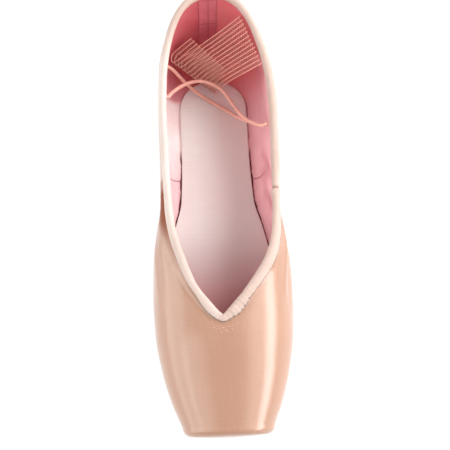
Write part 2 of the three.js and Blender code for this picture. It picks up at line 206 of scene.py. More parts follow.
# Where the sections are cut: closer at the heel's seam, the side seams and the throat
SIDE_SEAM = 110.0
SIDE_SEAM_SHARE = SIDE_SEAM / RIM_LINE[1]
heel_angle = np.radians(np.linspace(0, 75, 34))
heel_shares = WALL_HEEL[0] * (1 - np.cos(heel_angle) ** (2 / WALL_HEEL[1]))
seam_shares = WALL_HEEL[0] / 2.3 * (np.array([0.3, 0.6, 0.9, 1.3]) / 30) ** 2.3
quarter_shares = np.linspace(heel_shares[-1], THROAT_TIP - 0.07, 125)[1:]
side_shares = SIDE_SEAM_SHARE + np.linspace(-0.008, 0.008, 15)
throat_shares = THROAT_TIP - 0.07 * (1 - np.linspace(0, 1, 36)) ** 1.7
vamp_shares = np.linspace(THROAT_TIP, 1, 56)[1:]
shares = np.unique(np.concatenate([
    heel_shares, seam_shares, quarter_shares, side_shares, throat_shares, vamp_shares]))
crown_run = 1 - (1 - np.linspace(0, 1, 47)) ** 1.4
turns = np.concatenate([
    np.linspace(0, 1, 15)[:-1], 1 + np.linspace(0, 1, 15)[:-1], 2 + crown_run])


def with_platform(points):
    """Adds the platform's rounded edge and slight dome in front of the last section."""
    toe = points[-1]
    both = np.concatenate([toe, toe * (-1, 1, 1)])
    middle = (both.min(axis=0) + both.max(axis=0)) / 2
    size = both.max(axis=0) - both.min(axis=0)
    rows = [points]
    angles = np.radians(np.linspace(0, 90, 10)[1:])
    steps = [(EDGE_RADIUS * (1 - math.cos(a)), EDGE_RADIUS * math.sin(a), 1.0) for a in angles]
    for dome in (0.85, 0.7, 0.5, 0.3, 0.15, 0.0):
        steps.append((EDGE_RADIUS, EDGE_RADIUS + DOME * (1 - dome * dome), dome))
    for inset, forward, dome in steps:
        wide = (1 - inset / (size[0] / 2)) * dome
        tall = (1 - inset / (size[2] / 2)) * dome
        row = middle + (toe - middle) * (wide, tall, tall)
        row[:, 1] -= forward
        rows.append(row[None])
    return np.concatenate(rows)


def unit(vectors):
    return vectors / np.linalg.norm(vectors, axis=1, keepdims=True)


class Sheet:
    """One welded surface made of a right and a left grid of points."""

    def __init__(self, grids, values):
        flat = np.concatenate([grid.reshape(-1, 3) for grid in grids])
        key = np.round(flat * 2000).astype(np.int64)
        _, first, ids = np.unique(key, axis=0, return_index=True, return_inverse=True)
        ids = ids.reshape(-1)
        self.points = flat[first]
        self.values = {name: array[first] for name, array in values.items()}
        self.faces = []
        start = 0
        for side, grid in enumerate(grids):
            rows, columns = grid.shape[:2]
            grid_ids = ids[start:start + rows * columns].reshape(rows, columns)
            start += rows * columns
            corners = [grid_ids[:-1, :-1], grid_ids[:-1, 1:], grid_ids[1:, 1:], grid_ids[1:, :-1]]
            if side == 1:
                corners = corners[::-1]
            for quad in np.stack(corners, axis=-1).reshape(-1, 4).tolist():
                face = tuple(dict.fromkeys(quad))
                if len(face) > 2:
                    self.faces.append(face)
        padded = np.array([face + face[-1:] if len(face) == 3 else face for face in self.faces])
        corner = self.points[padded]
        area = np.cross(corner[:, 2] - corner[:, 0], corner[:, 3] - corner[:, 1])
        normals = np.zeros_like(self.points)
        for column in range(4):
            np.add.at(normals, padded[:, column], area)
        self.normals = unit(normals)
        edges = set()
        for face in self.faces:
            edges.update(zip(face, face[1:] + face[:1]))
        self.next = {a: b for a, b in edges if (b, a) not in edges}

    def shell(self, outer, inner):
        """Closed wall between two copies of the surface."""
        count = len(self.points)
        faces = list(self.faces)
        faces += [tuple(i + count for i in reversed(face)) for face in self.faces]
        faces += [(b, a, a + count, b + count) for a, b in sorted(self.next.items())]
        return np.concatenate([outer, inner]), faces

    def tree(self, points):
        return BVHTree.FromPolygons(points.tolist(), self.faces)


def side_grids(first_turn):
    chosen = turns[turns >= first_turn]
    return [with_platform(last_points(shares, side, chosen)) for side in (1, -1)]


def sheet_values(grids):
    """For each point its share, its distance round from the mouth or crown, and its turn."""
    found = {"share": [], "round": [], "turn": []}
    for side, grid in zip((1, -1), grids):
        rows, columns = grid.shape[:2]
        share = np.concatenate([shares, np.full(rows - len(shares), 1.0)])
        step = np.linalg.norm(np.diff(grid[:, ::-1], axis=1), axis=-1)
        away = np.concatenate([np.zeros((rows, 1)), np.cumsum(step, axis=1)], axis=1)[:, ::-1]
        found["share"].append(np.repeat(share, columns))
        found["round"].append((side * away).reshape(-1))
        found["turn"].append(np.tile(turns[-columns:], rows))
    return {name: np.concatenate(parts) for name, parts in found.items()}


upper_grids = side_grids(0)
upper_sheet = Sheet(upper_grids, sheet_values(upper_grids))
last_tree = upper_sheet.tree(upper_sheet.points)


def on_last(view, first, station):
    """Point of the outer surface met from above at x, or from one side at a height."""
    y = MIDDLE_STATION - station
    if view == "top":
        hit = last_tree.ray_cast(Vector((first, y, 200)), Vector((0, 0, -1)))
    elif view == "right":
        hit = last_tree.ray_cast(Vector((200, y, first)), Vector((-1, 0, 0)))
    else:
        hit = last_tree.ray_cast(Vector((-200, y, first)), Vector((1, 0, 0)))
    return np.array(hit[0])


def path_run(points):
    """Distance of each point along a path."""
    return np.concatenate([[0], np.cumsum(np.linalg.norm(np.diff(points, axis=0), axis=1))])


def smooth_path(corners, step):
    """Evenly stepped curve through a few corners, as a centripetal Catmull-Rom spline."""
    corners = np.asarray(corners, float)
    ends = np.concatenate([[2 * corners[0] - corners[1]], corners, [2 * corners[-1] - corners[-2]]])
    fine = []
    for p0, p1, p2, p3 in zip(ends, ends[1:], ends[2:], ends[3:]):
        d0, d1, d2 = (max(np.linalg.norm(b - a), 1e-9) ** 0.5 for a, b in ((p0, p1), (p1, p2), (p2, p3)))
        start = ((p1 - p0) / d0 - (p2 - p0) / (d0 + d1) + (p2 - p1) / d1) * d1
        end = ((p2 - p1) / d1 - (p3 - p1) / (d1 + d2) + (p3 - p2) / d2) * d1
        t = np.linspace(0, 1, 40, endpoint=False)[:, None]
        shape = (2 * t ** 3 - 3 * t ** 2 + 1) * p1 + (t ** 3 - 2 * t ** 2 + t) * start
        fine.append(shape + (3 * t ** 2 - 2 * t ** 3) * p2 + (t ** 3 - t ** 2) * end)
    fine = np.concatenate(fine + [corners[-1:]])
    if step is None:
        return fine
    run = path_run(fine)
    even = np.linspace(0, run[-1], max(2, round(run[-1] / step) + 1))
    return np.stack([np.interp(even, run, fine[:, axis]) for axis in range(3)], axis=1)


FOLD_STEP = 0.8
FOLD_REACH = 2.6
FOLD_TAPER = 0.6


def fold_push(points, path, width, height):
    """How far each point moves out for one soft ridge, or in for a trough, along a path."""
    push = np.zeros(len(points))
    reach = FOLD_REACH * width
    near = np.all((points > path.min(axis=0) - reach) & (points < path.max(axis=0) + reach), axis=1)
    index = np.nonzero(near)[0]
    if len(index) == 0:
        return push
    gap = np.linalg.norm(points[index][:, None] - path[None], axis=-1)
    closest = gap.argmin(axis=1)
    along = closest / (len(path) - 1)
    taper = np.sin(math.pi * np.clip(along, 0, 1)) ** FOLD_TAPER
    distance = gap[np.arange(len(index)), closest]
    push[index] = height * bell(distance, 0, width) * taper
    return push


# Troughs beside the collar, where the soft sides sink against the stiff box: side, depth, distance
# from the edge, width, and the stations where each one starts, is full, starts to fade and ends
TROUGHS = [
    (-1, 1.7, 6.6, 4.4, 101.0, 113.0, 136.0, 174.0),
    (1, 0.9, 6.0, 3.4, 107.0, 118.0, 138.0, 166.0),
]
TROUGH_STEEP = 0.55
# Folds of the satin: the side they are seen from, height and station along them, width and height
FOLDS = [
    ("left", [(22.0, 114.0), (29.0, 134.0), (34.0, 156.0), (37.0, 178.0)], 2.4, 0.5),
    ("right", [(33.0, 120.0), (37.0, 140.0), (38.4, 156.0), (37.4, 172.0)], 1.5, 0.75),
    ("right", [(27.0, 122.0), (32.0, 142.0), (34.5, 158.0), (34.0, 174.0)], 1.3, -0.7),
    ("right", [(23.0, 124.0), (27.0, 144.0), (29.0, 160.0), (29.0, 176.0)], 1.6, 0.5),
]


def edge_loop(sheet):
    """Numbers of the points round the collar's edge, from the back of the heel."""
    start = max(sheet.next, key=lambda i: sheet.points[i][2])
    order = [start]
    while sheet.next[order[-1]] != start:
        order.append(sheet.next[order[-1]])
    return order


def nearest(points, others):
    """Distance from each point to the nearest of some others."""
    tree = KDTree(len(others))
    for index, other in enumerate(others):
        tree.insert(other, index)
    tree.balance()
    return np.array([tree.find(point)[2] for point in points])


def from_edge(sheet):
    """Distance of each point of a sheet from the collar's edge."""
    edge = sheet.points[edge_loop(sheet)]
    ahead = np.roll(edge, -1, axis=0)
    return nearest(sheet.points, np.concatenate([edge + (ahead - edge) * k / 4 for k in range(4)]))


def trough_push(sheet):
    station = MIDDLE_STATION - sheet.points[:, 1]
    gap = from_edge(sheet)
    push = np.zeros(len(gap))
    for side, depth, middle, width, start, full, fade, end in TROUGHS:
        spread = np.where(gap < middle, width * TROUGH_STEEP, width)
        shape = depth * bell(gap, middle, spread)
        run = rise_and_fall(station, start, full, fade, end)
        push -= shape * run * (side * sheet.points[:, 0] > 0)
    return push


def fold_pushes(sheet, folds):
    """How far each point of a sheet moves for each fold of a list."""
    for view, places, width, height in folds:
        route = smooth_path([on_last(view, *place) for place in places], FOLD_STEP)
        yield fold_push(sheet.points, route, width, height)


edge_gap = from_edge(upper_sheet)
bend = trough_push(upper_sheet)
push = bend.copy()
for moved in fold_pushes(upper_sheet, FOLDS):
    push += moved

# The satin dips where the binding's foot is sewn down, deepest round the throat's point
FOOT_GAP = 4.6
FOOT_WIDTH = 0.9
FOOT_DEPTH = 0.3
FOOT_STATIONS = (128.0, 182.0)
RIGHT_FOOT_START = 2.0
RIGHT_FOOT_DIP = 0.25
THROAT_STATION = line_station(RIM_LINE, THROAT_TIP)
station_of = MIDDLE_STATION - upper_sheet.points[:, 1]
throat_near = smooth_step(station_of, *FOOT_STATIONS)
throat_near *= np.where(upper_sheet.points[:, 0] < RIGHT_FOOT_START, 1.0, RIGHT_FOOT_DIP)
push -= FOOT_DEPTH * bell(edge_gap, FOOT_GAP, FOOT_WIDTH) * throat_near

# Sewn seams at the back of the heel and at both sides, and pleats drawn in round the sole's front
SEAM_WIDTH = 0.45
SEAM_DEPTH = 0.35
SEAM_TURNS = (0.8, 1.2)
HEEL_SEAM_STATION = 20.0
HEEL_SEAM_SHARE = 0.05
PLEATS = 34
PLEAT_DEPTH = 0.7
PLEAT_WOBBLE = 1.3
PLEAT_WOBBLES = 5
PLEAT_CENTRE = 176.0
PLEAT_SHARES = (0.72, 0.80)
PLEAT_TURNS = (0.9, 1.45)
PLEAT_STATIONS = (168.0, 186.0)
share_of = upper_sheet.values["share"]
turn_of = upper_sheet.values["turn"]
seam_gap = (share_of - SIDE_SEAM_SHARE) * RIM_LINE[1]
push -= SEAM_DEPTH * bell(seam_gap, 0, SEAM_WIDTH) * smooth_step(turn_of, *SEAM_TURNS)
back_of_heel = (station_of < HEEL_SEAM_STATION) & (share_of < HEEL_SEAM_SHARE)
push -= SEAM_DEPTH * bell(upper_sheet.points[:, 0], 0, SEAM_WIDTH) * back_of_heel
pleat_angle = np.arctan2(upper_sheet.points[:, 0], station_of - PLEAT_CENTRE)
pleat_turn = pleat_angle * PLEATS + PLEAT_WOBBLE * np.sin(pleat_angle * PLEAT_WOBBLES)
pleat_wave = (0.5 + 0.5 * np.cos(pleat_turn)) ** 3
pleat_fade = smooth_step(share_of, *PLEAT_SHARES) * (1 - smooth_step(turn_of, *PLEAT_TURNS))
push -= PLEAT_DEPTH * pleat_wave * pleat_fade * smooth_step(station_of, *PLEAT_STATIONS)

# The lining takes the inner part of the wall, so the upper stops just short of it
LINING_THICK = 0.5
LINING_GAP = 0.06
upper_wall = wall_thickness(share_of) - LINING_THICK - LINING_GAP
upper_outer = upper_sheet.points + upper_sheet.normals * push[:, None]
upper_inner = upper_sheet.points + upper_sheet.normals * (bend - upper_wall)[:, None]


def make_piece(name, points, faces, material, uv=None, marks=None):
    """Smooth mesh object in metres, with an optional map and optional named values per point."""
    mesh = bpy.data.meshes.new(name)
    mesh.from_pydata((np.asarray(points) * MM).tolist(), [], faces)
    mesh.materials.append(material)
    mesh.polygons.foreach_set("use_smooth", np.ones(len(mesh.polygons), bool))
    if uv is not None:
        corners = np.zeros(len(mesh.loops), np.int32)
        mesh.loops.foreach_get("vertex_index", corners)
        layer = mesh.uv_layers.new(name="cloth")
        layer.data.foreach_set("uv", (np.asarray(uv) * MM)[corners].astype(np.float32).ravel())
    for label, values in (marks or {}).items():
        mesh.attributes.new(label, "FLOAT", "POINT").data.foreach_set("value", values.astype(np.float32))
    mesh.validate()
    mesh.update()
    piece = bpy.data.objects.new(name, mesh)
    bpy.context.scene.collection.objects.link(piece)
    return piece


def screen_colour(colour):
    """Linear colour of a screen colour given from 0 to 255."""
    parts = [value / 255 for value in colour]
    linear = [p / 12.92 if p <= 0.04045 else ((p + 0.055) / 1.055) ** 2.4 for p in parts]
    return (*linear, 1.0)


def set_inputs(tree, node, inputs):
    """Links each input that is given a socket, and sets the others."""
    for name, value in inputs.items():
        if isinstance(value, bpy.types.NodeSocket):
            tree.links.new(value, node.inputs[name])
        else:
            node.inputs[name].default_value = value


def add_node(tree, kind, inputs=None, **settings):
    made = tree.nodes.new(kind)
    for name, value in settings.items():
        setattr(made, name, value)
    set_inputs(tree, made, inputs or {})
    return made


def calculate(tree, operation, *values, **settings):
    """Result of a sum on one, two or three values."""
    numbered = dict(enumerate(values))
    return add_node(tree, "ShaderNodeMath", numbered, operation=operation, **settings).outputs[0]


def ramp(tree, value, low, high, start=0.0, end=1.0, kind="LINEAR"):
    """A value carried from one range to another and held at its ends."""
    return add_node(tree, "ShaderNodeMapRange", {
        "Value": value, "From Min": low, "From Max": high, "To Min": start, "To Max": end,
    }, interpolation_type=kind).outputs[0]


def axes(tree, place):
    return add_node(tree, "ShaderNodeSeparateXYZ", {0: place}).outputs


def mark(tree, name):
    return add_node(tree, "ShaderNodeAttribute", attribute_name=name).outputs["Fac"]


def noise(tree, place, scale, detail, roughness=0.5):
    return add_node(tree, "ShaderNodeTexNoise", {
        "Vector": place, "Scale": scale, "Detail": detail, "Roughness": roughness}).outputs[0]


def bump(tree, height, strength, distance, below=None):
    inputs = {"Height": height, "Strength": strength, "Distance": distance * MM}
    if below is not None:
        inputs["Normal"] = below
    return add_node(tree, "ShaderNodeBump", inputs).outputs[0]


def blend(tree, share, first, second):
    """Mix of two colours, each a socket or a screen colour."""
    made = add_node(tree, "ShaderNodeMix", data_type="RGBA")
    sockets = {socket.identifier: socket for socket in made.inputs}
    for name, value in (("Factor_Float", share), ("A_Color", first), ("B_Color", second)):
        if isinstance(value, bpy.types.NodeSocket):
            tree.links.new(value, sockets[name])
        else:
            sockets[name].default_value = screen_colour(value)
    return next(socket for socket in made.outputs if socket.identifier == "Result_Color")


def new_group(kind, name, inputs, output, output_kind):
    """Node group of a kind, with the sockets that it starts from and the one that it ends in."""
    group = bpy.data.node_groups.new(name, kind + "NodeTree")
    for label, input_kind in inputs.items():
        group.interface.new_socket(label, in_out="INPUT", socket_type="NodeSocket" + input_kind)
    group.interface.new_socket(output, in_out="OUTPUT", socket_type="NodeSocket" + output_kind)
    start = group.nodes.new("NodeGroupInput").outputs
    end = group.nodes.new("NodeGroupOutput").inputs[0]
    return group, start, end


def streak_group():
    """Uneven yarns: a noise drawn out along the yarns, from 0 to 1."""
    group, start, end = new_group("Shader", "Uneven yarns", {
        "Vector": "Vector", "Across": "Float", "Along": "Float"}, "Tone", "Float")
    spread = add_node(group, "ShaderNodeCombineXYZ", {
        "X": start["Across"], "Y": start["Along"], "Z": start["Across"]}).outputs[0]
    scaled = add_node(group, "ShaderNodeVectorMath", {0: start["Vector"], 1: spread}, operation="MULTIPLY")
    group.links.new(ramp(group, noise(group, scaled.outputs[0], 1.0, 3.0, 0.6), 0.3, 0.7), end)
    return group


def weave_group():
    """Over and under of a plain weave, as a height from 0 to 1."""
    group, start, end = new_group("Shader", "Plain weave", {
        "Vector": "Vector", "Yarns": "Float"}, "Height", "Float")
    parts = axes(group, start["Vector"])
    waves = []
    for axis in ("X", "Y"):
        yarns = calculate(group, "MULTIPLY", parts[axis], start["Yarns"])
        waves.append(calculate(group, "SINE", calculate(group, "MULTIPLY", yarns, math.pi)))
    crossing = calculate(group, "MULTIPLY", *waves)
    group.links.new(calculate(group, "MULTIPLY_ADD", crossing, 0.5, 0.5), end)
    return group


def mottle_group():
    """Soft cloudy change of tone from handling, from 0 to 1."""
    group, start, end = new_group("Shader", "Handled tone", {
        "Vector": "Vector", "Size": "Float"}, "Tone", "Float")
    clouds = noise(group, start["Vector"], start["Size"], 4.0, 0.55)
    group.links.new(ramp(group, clouds, 0.32, 0.68), end)
    return group


uneven_yarns = streak_group()
plain_weave = weave_group()
handled_tone = mottle_group()


def pattern(tree, group, place, **inputs):
    """Value of a shader group laid out by the coordinates given."""
    return add_node(tree, "ShaderNodeGroup", {"Vector": place, **inputs}, node_tree=group).outputs[0]


def age(tree, place, size, strength, base, worn):
    """A colour that goes cloudy towards another from handling."""
    tone = pattern(tree, handled_tone, place, Size=size)
    return blend(tree, ramp(tree, tone, 0, 1, 0.0, strength), base, worn)


def new_material(name, mapped=False):
    """Material with its tree, its shader, and coordinates from the cloth's map or the object."""
    made = bpy.data.materials.new(name)
    made.use_nodes = True
    tree = made.node_tree
    if mapped:
        place = add_node(tree, "ShaderNodeUVMap", uv_map="cloth").outputs[0]
    else:
        place = add_node(tree, "ShaderNodeTexCoord").outputs["Object"]
    return made, tree, tree.nodes["Principled BSDF"], place


SATIN_DARK = (163, 121, 98)
SATIN_LIGHT = (171, 129, 106)
SATIN_AGED = (157, 113, 91)
# Painted shade for the crease beside the collar
SATIN_CREASE_SHADE = (124, 60, 32)
SATIN_TINT = (1.0, 0.91, 0.83, 1.0)
PUCKER_GAPS = (4.0, 11.0)
PUCKER_STATIONS = (118.0, 150.0)


def satin_material():
    material, tree, shader, place = new_material("peach_satin", mapped=True)
    warps = pattern(tree, uneven_yarns, place, Across=1500.0, Along=90.0)
    wefts = pattern(tree, uneven_yarns, place, Across=80.0, Along=1300.0)
    fine = calculate(tree, "MULTIPLY", calculate(tree, "ADD", warps, wefts), 0.5)
    aged = age(tree, place, 45.0, 0.22, blend(tree, fine, SATIN_DARK, SATIN_LIGHT), SATIN_AGED)
    # Painted shade darkens the crease beside the collar, which also loses its coat
    crease_painted_shade = mark(tree, "crease_shade")
    yarn_rough = ramp(tree, fine, 0, 1, 0.36, 0.46)
    near = ramp(tree, mark(tree, "edge_gap"), *PUCKER_GAPS, 1.0, 0.0)
    front = ramp(tree, axes(tree, place)["Y"], PUCKER_STATIONS[0] * MM, PUCKER_STATIONS[1] * MM)
    puckers = pattern(tree, uneven_yarns, place, Across=330.0, Along=330.0)
    puckered = calculate(tree, "MULTIPLY", puckers, calculate(tree, "MULTIPLY", near, front))
    grain = add_node(tree, "ShaderNodeTangent", direction_type="UV_MAP", uv_map="cloth")
    set_inputs(tree, shader, {
        "Base Color": blend(tree, crease_painted_shade, aged, SATIN_CREASE_SHADE),
        "Roughness": calculate(tree, "MULTIPLY_ADD", crease_painted_shade, 0.5, yarn_rough),
        "Coat Weight": ramp(tree, crease_painted_shade, 0, 1, 0.9, 0.0), "Coat Roughness": 0.22,
        "Specular IOR Level": 0.65, "Specular Tint": SATIN_TINT,
        "Sheen Weight": 0.08, "Sheen Roughness": 0.4,
        "Tangent": grain.outputs[0], "Anisotropic": 0.5, "Anisotropic Rotation": 0.25,
        "Normal": bump(tree, puckered, 0.5, 0.5, bump(tree, fine, 0.12, 0.2))})
    return material


# Painted shade in the crease beside the collar, more at the left: how far it reaches
# from the edge at each station, where it starts, is full, fades and ends, and a short dark notch
CREASE_STATIONS = (112.0, 124.0, 136.0, 148.0)
CREASE_REACHES = (24.0, 19.0, 10.5, 7.0)
CREASE_RUN = (101.0, 109.0, 120.0, 160.0)
NOTCH_STATION = 103.0
NOTCH_HALF = 1.3
NOTCH_STRENGTH = 0.9
NOTCH_REACH = 15.0
RIGHT_CREASE = 0.2
crease_reach = np.interp(station_of, CREASE_STATIONS, CREASE_REACHES)
crease_shade = 1 - smooth_step(edge_gap / crease_reach, 0.5, 1.0)
crease_shade *= rise_and_fall(station_of, *CREASE_RUN)
notch = NOTCH_STRENGTH * bell(station_of, NOTCH_STATION, NOTCH_HALF) * (edge_gap < NOTCH_REACH)
crease_shade = np.maximum(crease_shade, notch) * np.where(upper_sheet.points[:, 0] < 0, 1.0, RIGHT_CREASE)


def make_shell(name, sheet, outer, inner, material, marks):
    """Piece between two copies of a sheet, mapped by its distance round and its station."""
    points, faces = sheet.shell(outer, inner)
    uv = np.stack([sheet.values["round"], MIDDLE_STATION - sheet.points[:, 1]], axis=1)
    doubled = {label: np.tile(values, 2) for label, values in marks.items()}
    return make_piece(name, points, faces, material, np.tile(uv, (2, 1)), doubled)


upper = make_shell("upper_satin", upper_sheet, upper_outer, upper_inner, satin_material(),
                   {"edge_gap": edge_gap, "crease_shade": crease_shade})
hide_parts("upper")
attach(upper, "root")

# Lining: pink cotton glued to the canvas inside the upper, from under the binding down to the
# insole. It has a seam across each side and a few creases where the sides bend.
LINING_TURN = 0.55
LINING_SEAM = 88.0
SEAM_SINK = 0.3
SEAM_SINK_WIDTH = 1.1
FOLD_LIMIT = -0.35
# Soft creases of the cloth, pushed in or out: side, height and station along them, width and height
LINING_FOLDS = [
    ("right", [(36.0, 91.0), (22.0, 76.0), (8.0, 59.0)], 4.0, 0.9),
    ("right", [(35.0, 114.0), (22.0, 100.0), (9.0, 84.0)], 4.4, 1.5),
    ("right", [(32.0, 138.0), (20.0, 124.0), (9.0, 109.0)], 4.4, 1.3),
    ("left", [(34.0, 90.0), (22.0, 94.0), (10.0, 98.0)], 2.0, 0.7),
    ("left", [(32.0, 101.0), (20.0, 103.0), (9.0, 106.0)], 1.8, -0.6),
]
lining_grids = side_grids(LINING_TURN)
lining_sheet = Sheet(lining_grids, sheet_values(lining_grids))
lining_wall = wall_thickness(lining_sheet.values["share"]) - trough_push(lining_sheet)
lining_back = lining_sheet.points - lining_sheet.normals * (lining_wall - LINING_THICK)[:, None]
seam_gap = lining_sheet.values["share"] * RIM_LINE[1] - LINING_SEAM
lining_wall -= SEAM_SINK * bell(seam_gap, 0, SEAM_SINK_WIDTH)
for moved in fold_pushes(lining_sheet, LINING_FOLDS):
    lining_wall += np.maximum(moved, FOLD_LIMIT)
lining_face = lining_sheet.points - lining_sheet.normals * lining_wall[:, None]

# Painted shade along and between the folds: side, then height and station along them, width and strength
LINING_SHADE_LINES = [
    ("right", [(36.0, 104.6), (22.0, 89.0), (8.0, 71.5)], 2.4, 0.6),
    ("right", [(24.0, 97.0), (16.0, 90.0), (8.0, 82.0)], 6.0, 0.4),
    ("right", [(32.0, 126.4), (20.0, 111.0), (9.0, 96.6)], 3.0, 0.6),
]
lining_crease_shade = np.zeros(len(lining_wall))
for strength in fold_pushes(lining_sheet, LINING_SHADE_LINES):
    lining_crease_shade = np.maximum(lining_crease_shade, strength)

# Outline of the insole, against which the lining turns under
INSOLE_BACK = 22.5
INSOLE_FRONT = 219.0
INSOLE_THICK = 2.0
INSOLE_INSET = 0.6
INSOLE_BEVEL = 0.6
INSOLE_HEEL = (0.10, 2.2)
INSOLE_TOE = (0.07, 2.0)


def insole_half(station):
    share = (station - INSOLE_BACK) / (INSOLE_FRONT - INSOLE_BACK)
    ends = round_off(share, *INSOLE_HEEL) * round_off(1 - share, *INSOLE_TOE)
    return (table_curve(LAST, SEAT, seat_share(station)) - INSOLE_INSET) * ends


outline_at = np.linspace(INSOLE_BACK, INSOLE_FRONT, 1200)
outline = np.stack([insole_half(outline_at), MIDDLE_STATION - outline_at, 0 * outline_at], axis=1)
in_plan = np.stack([np.abs(lining_face[:, 0]), lining_face[:, 1], 0 * lining_face[:, 0]], axis=1)
lining_station = MIDDLE_STATION - lining_face[:, 1]
insole_there = (lining_station > INSOLE_BACK) & (lining_station < INSOLE_FRONT)
half_there = insole_half(np.clip(lining_station, INSOLE_BACK, INSOLE_FRONT))
covered = insole_there & (in_plan[:, 0] < half_there)
insole_gap = nearest(in_plan, outline) * np.where(covered, -1, 1)

# How much painted shade fills the gap beside the insole: from mid foot at the left, and with a break at the
# right
GAP_LEFT = (66.0, 76.0)
GAP_RIGHT = (66.0, 74.0)
GAP_LEFT_LEAST = 0.1
GAP_RIGHT_LEAST = 0.4
GAP_BREAK = 65.0
GAP_BREAK_WIDTH = 4.0
GAP_BREAK_DEPTH = 0.35
left_gap_shade = GAP_LEFT_LEAST + (1 - GAP_LEFT_LEAST) * smooth_step(lining_station, *GAP_LEFT)
right_gap_shade = GAP_RIGHT_LEAST + (1 - GAP_RIGHT_LEAST) * smooth_step(lining_station, *GAP_RIGHT)
right_gap_shade -= GAP_BREAK_DEPTH * bell(lining_station, GAP_BREAK, GAP_BREAK_WIDTH)
gap_shade = np.where(lining_face[:, 0] < 0, left_gap_shade, right_gap_shade)

LINING_DARK = (236, 180, 185)
LINING_LIGHT = (243, 194, 198)
LINING_AGED = (220, 150, 156)
# Painted shade in the lining's creases
LINING_CREASE_SHADE = (186, 92, 102)
# Painted shade: a darker pink inside the toe, and deep red round the back of the heel, deepest at the left
LINING_TOE_SHADE = (214, 112, 116)
LINING_HEEL_SHADE_LEFT = (196, 82, 90)
LINING_HEEL_SHADE_RIGHT = (220, 112, 116)
# A pale patch at the left back, the ground of a print left bare, painted paler still as a pool of light
LINING_PALE_AND_LIT = (255, 246, 243)
# Painted shade in the gap where the lining turns under beside the insole
LINING_GAP_SHADE = (88, 36, 42)
LINING_SEAM_DARK = (150, 70, 80)
# Where the tones change: four by station, then three by the distance down from the collar's edge,
# which is below 0 at the left except for the top of the seam
HEEL_TONE = (10.0, 48.0)
TOE_TONE = (140.0, 176.0)
PANEL_EDGE = (34.0, 37.0)
PANEL_FADE = (66.0, 92.0)
HEEL_SIDE = (-4.0, 14.0)
PANEL_SIDE = (-2.0, 0.0)
SEAM_TOP = (26.0, 34.0)


def line_across(tree, value, middle, low, high, strength):
    """A mark that is strongest where a value is near its middle, in millimetres."""
    away = calculate(tree, "ABSOLUTE", calculate(tree, "SUBTRACT", value, middle * MM))
    return ramp(tree, away, low * MM, high * MM, strength, 0.0)


def lining_material():
    material, tree, shader, place = new_material("pink_cotton_lining", mapped=True)
    along = axes(tree, place)

    def tones(value, ends, *levels):
        return ramp(tree, value, ends[0] * MM, ends[1] * MM, *levels)

    yarns = pattern(tree, uneven_yarns, place, Across=700.0, Along=120.0)
    base = blend(tree, yarns, LINING_DARK, LINING_LIGHT)
    # Painted shade: darker inside the toe, and deep red round the heel, more at the left
    ends = blend(tree, tones(along["Y"], TOE_TONE), base, LINING_TOE_SHADE)
    left = tones(along["X"], PANEL_SIDE, 1.0, 0.0)
    panel = calculate(tree, "MULTIPLY", left, tones(along["Y"], PANEL_EDGE))
    heelward = tones(along["Y"], HEEL_TONE, 1.0, 0.0, "SMOOTHSTEP")
    heel_share = calculate(tree, "SUBTRACT", heelward, panel, use_clamp=True)
    heel_shade_colour = blend(tree, tones(along["X"], HEEL_SIDE), LINING_HEEL_SHADE_LEFT, LINING_HEEL_SHADE_RIGHT)
    heel_shaded = blend(tree, heel_share, ends, heel_shade_colour)
    # Pale print ground at the left back, painted paler still as a pool of light, fading towards the front
    pale_and_lit = calculate(tree, "MULTIPLY", panel, tones(along["Y"], PANEL_FADE, 0.95, 0.3))
    aged = age(tree, place, 70.0, 0.2, blend(tree, pale_and_lit, heel_shaded, LINING_PALE_AND_LIT), LINING_AGED)
    # Painted shade along and between the lining's folds
    crease_shaded = blend(tree, mark(tree, "crease_shade"), aged, LINING_CREASE_SHADE)
    # Painted shade in the gap beside the insole, broken up a little by the cloudy tone
    clouds = pattern(tree, handled_tone, place, Size=70.0)
    uneven = calculate(tree, "MULTIPLY_ADD", clouds, -1.0, mark(tree, "insole_gap"))
    under = ramp(tree, uneven, 0.2, 0.7, 1.0, 0.0)
    shade = calculate(tree, "MULTIPLY", under, mark(tree, "gap_shade"))
    gap_shaded = blend(tree, shade, crease_shaded, LINING_GAP_SHADE)
    line = line_across(tree, along["Y"], LINING_SEAM, 0.2, 0.6, 0.7)
    low = tones(calculate(tree, "ABSOLUTE", along["X"]), SEAM_TOP)
    sewn = calculate(tree, "MULTIPLY", line, low)
    weave = pattern(tree, plain_weave, place, Yarns=2200.0)
    set_inputs(tree, shader, {
        "Base Color": blend(tree, sewn, gap_shaded, LINING_SEAM_DARK), "Roughness": 0.8,
        "Specular IOR Level": 0.25, "Sheen Weight": 0.12, "Normal": bump(tree, weave, 0.35, 0.12)})
    return material


lining = make_shell("lining", lining_sheet, lining_back, lining_face, lining_material(),
                    {"insole_gap": insole_gap, "gap_shade": gap_shade, "crease_shade": lining_crease_shade})
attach(lining, "root")

# Heel tape: a strip of darker cotton that covers the lining's back seam inside the heel.
# It is sewn down over the lining, and a seam crosses it half way up.
TAPE_MIDDLE = -1.8
TAPE_HALF = 5.2
TAPE_HEIGHTS = (22.0, 59.5)
TAPE_THICK = 0.35
TAPE_LIFT = 0.06
TAPE_DIP = 0.2
TAPE_DIP_WIDTH = 0.5
RAY_STATION = 25.0
TAPE_SEAM = TAPE_MIDDLE + 0.3
TAPE_CROSS = 39.4
TAPE_DARK = (196, 98, 108)
TAPE_LIGHT = (206, 112, 120)
TAPE_LINE = (138, 54, 64)
lining_tree = lining_sheet.tree(lining_face)


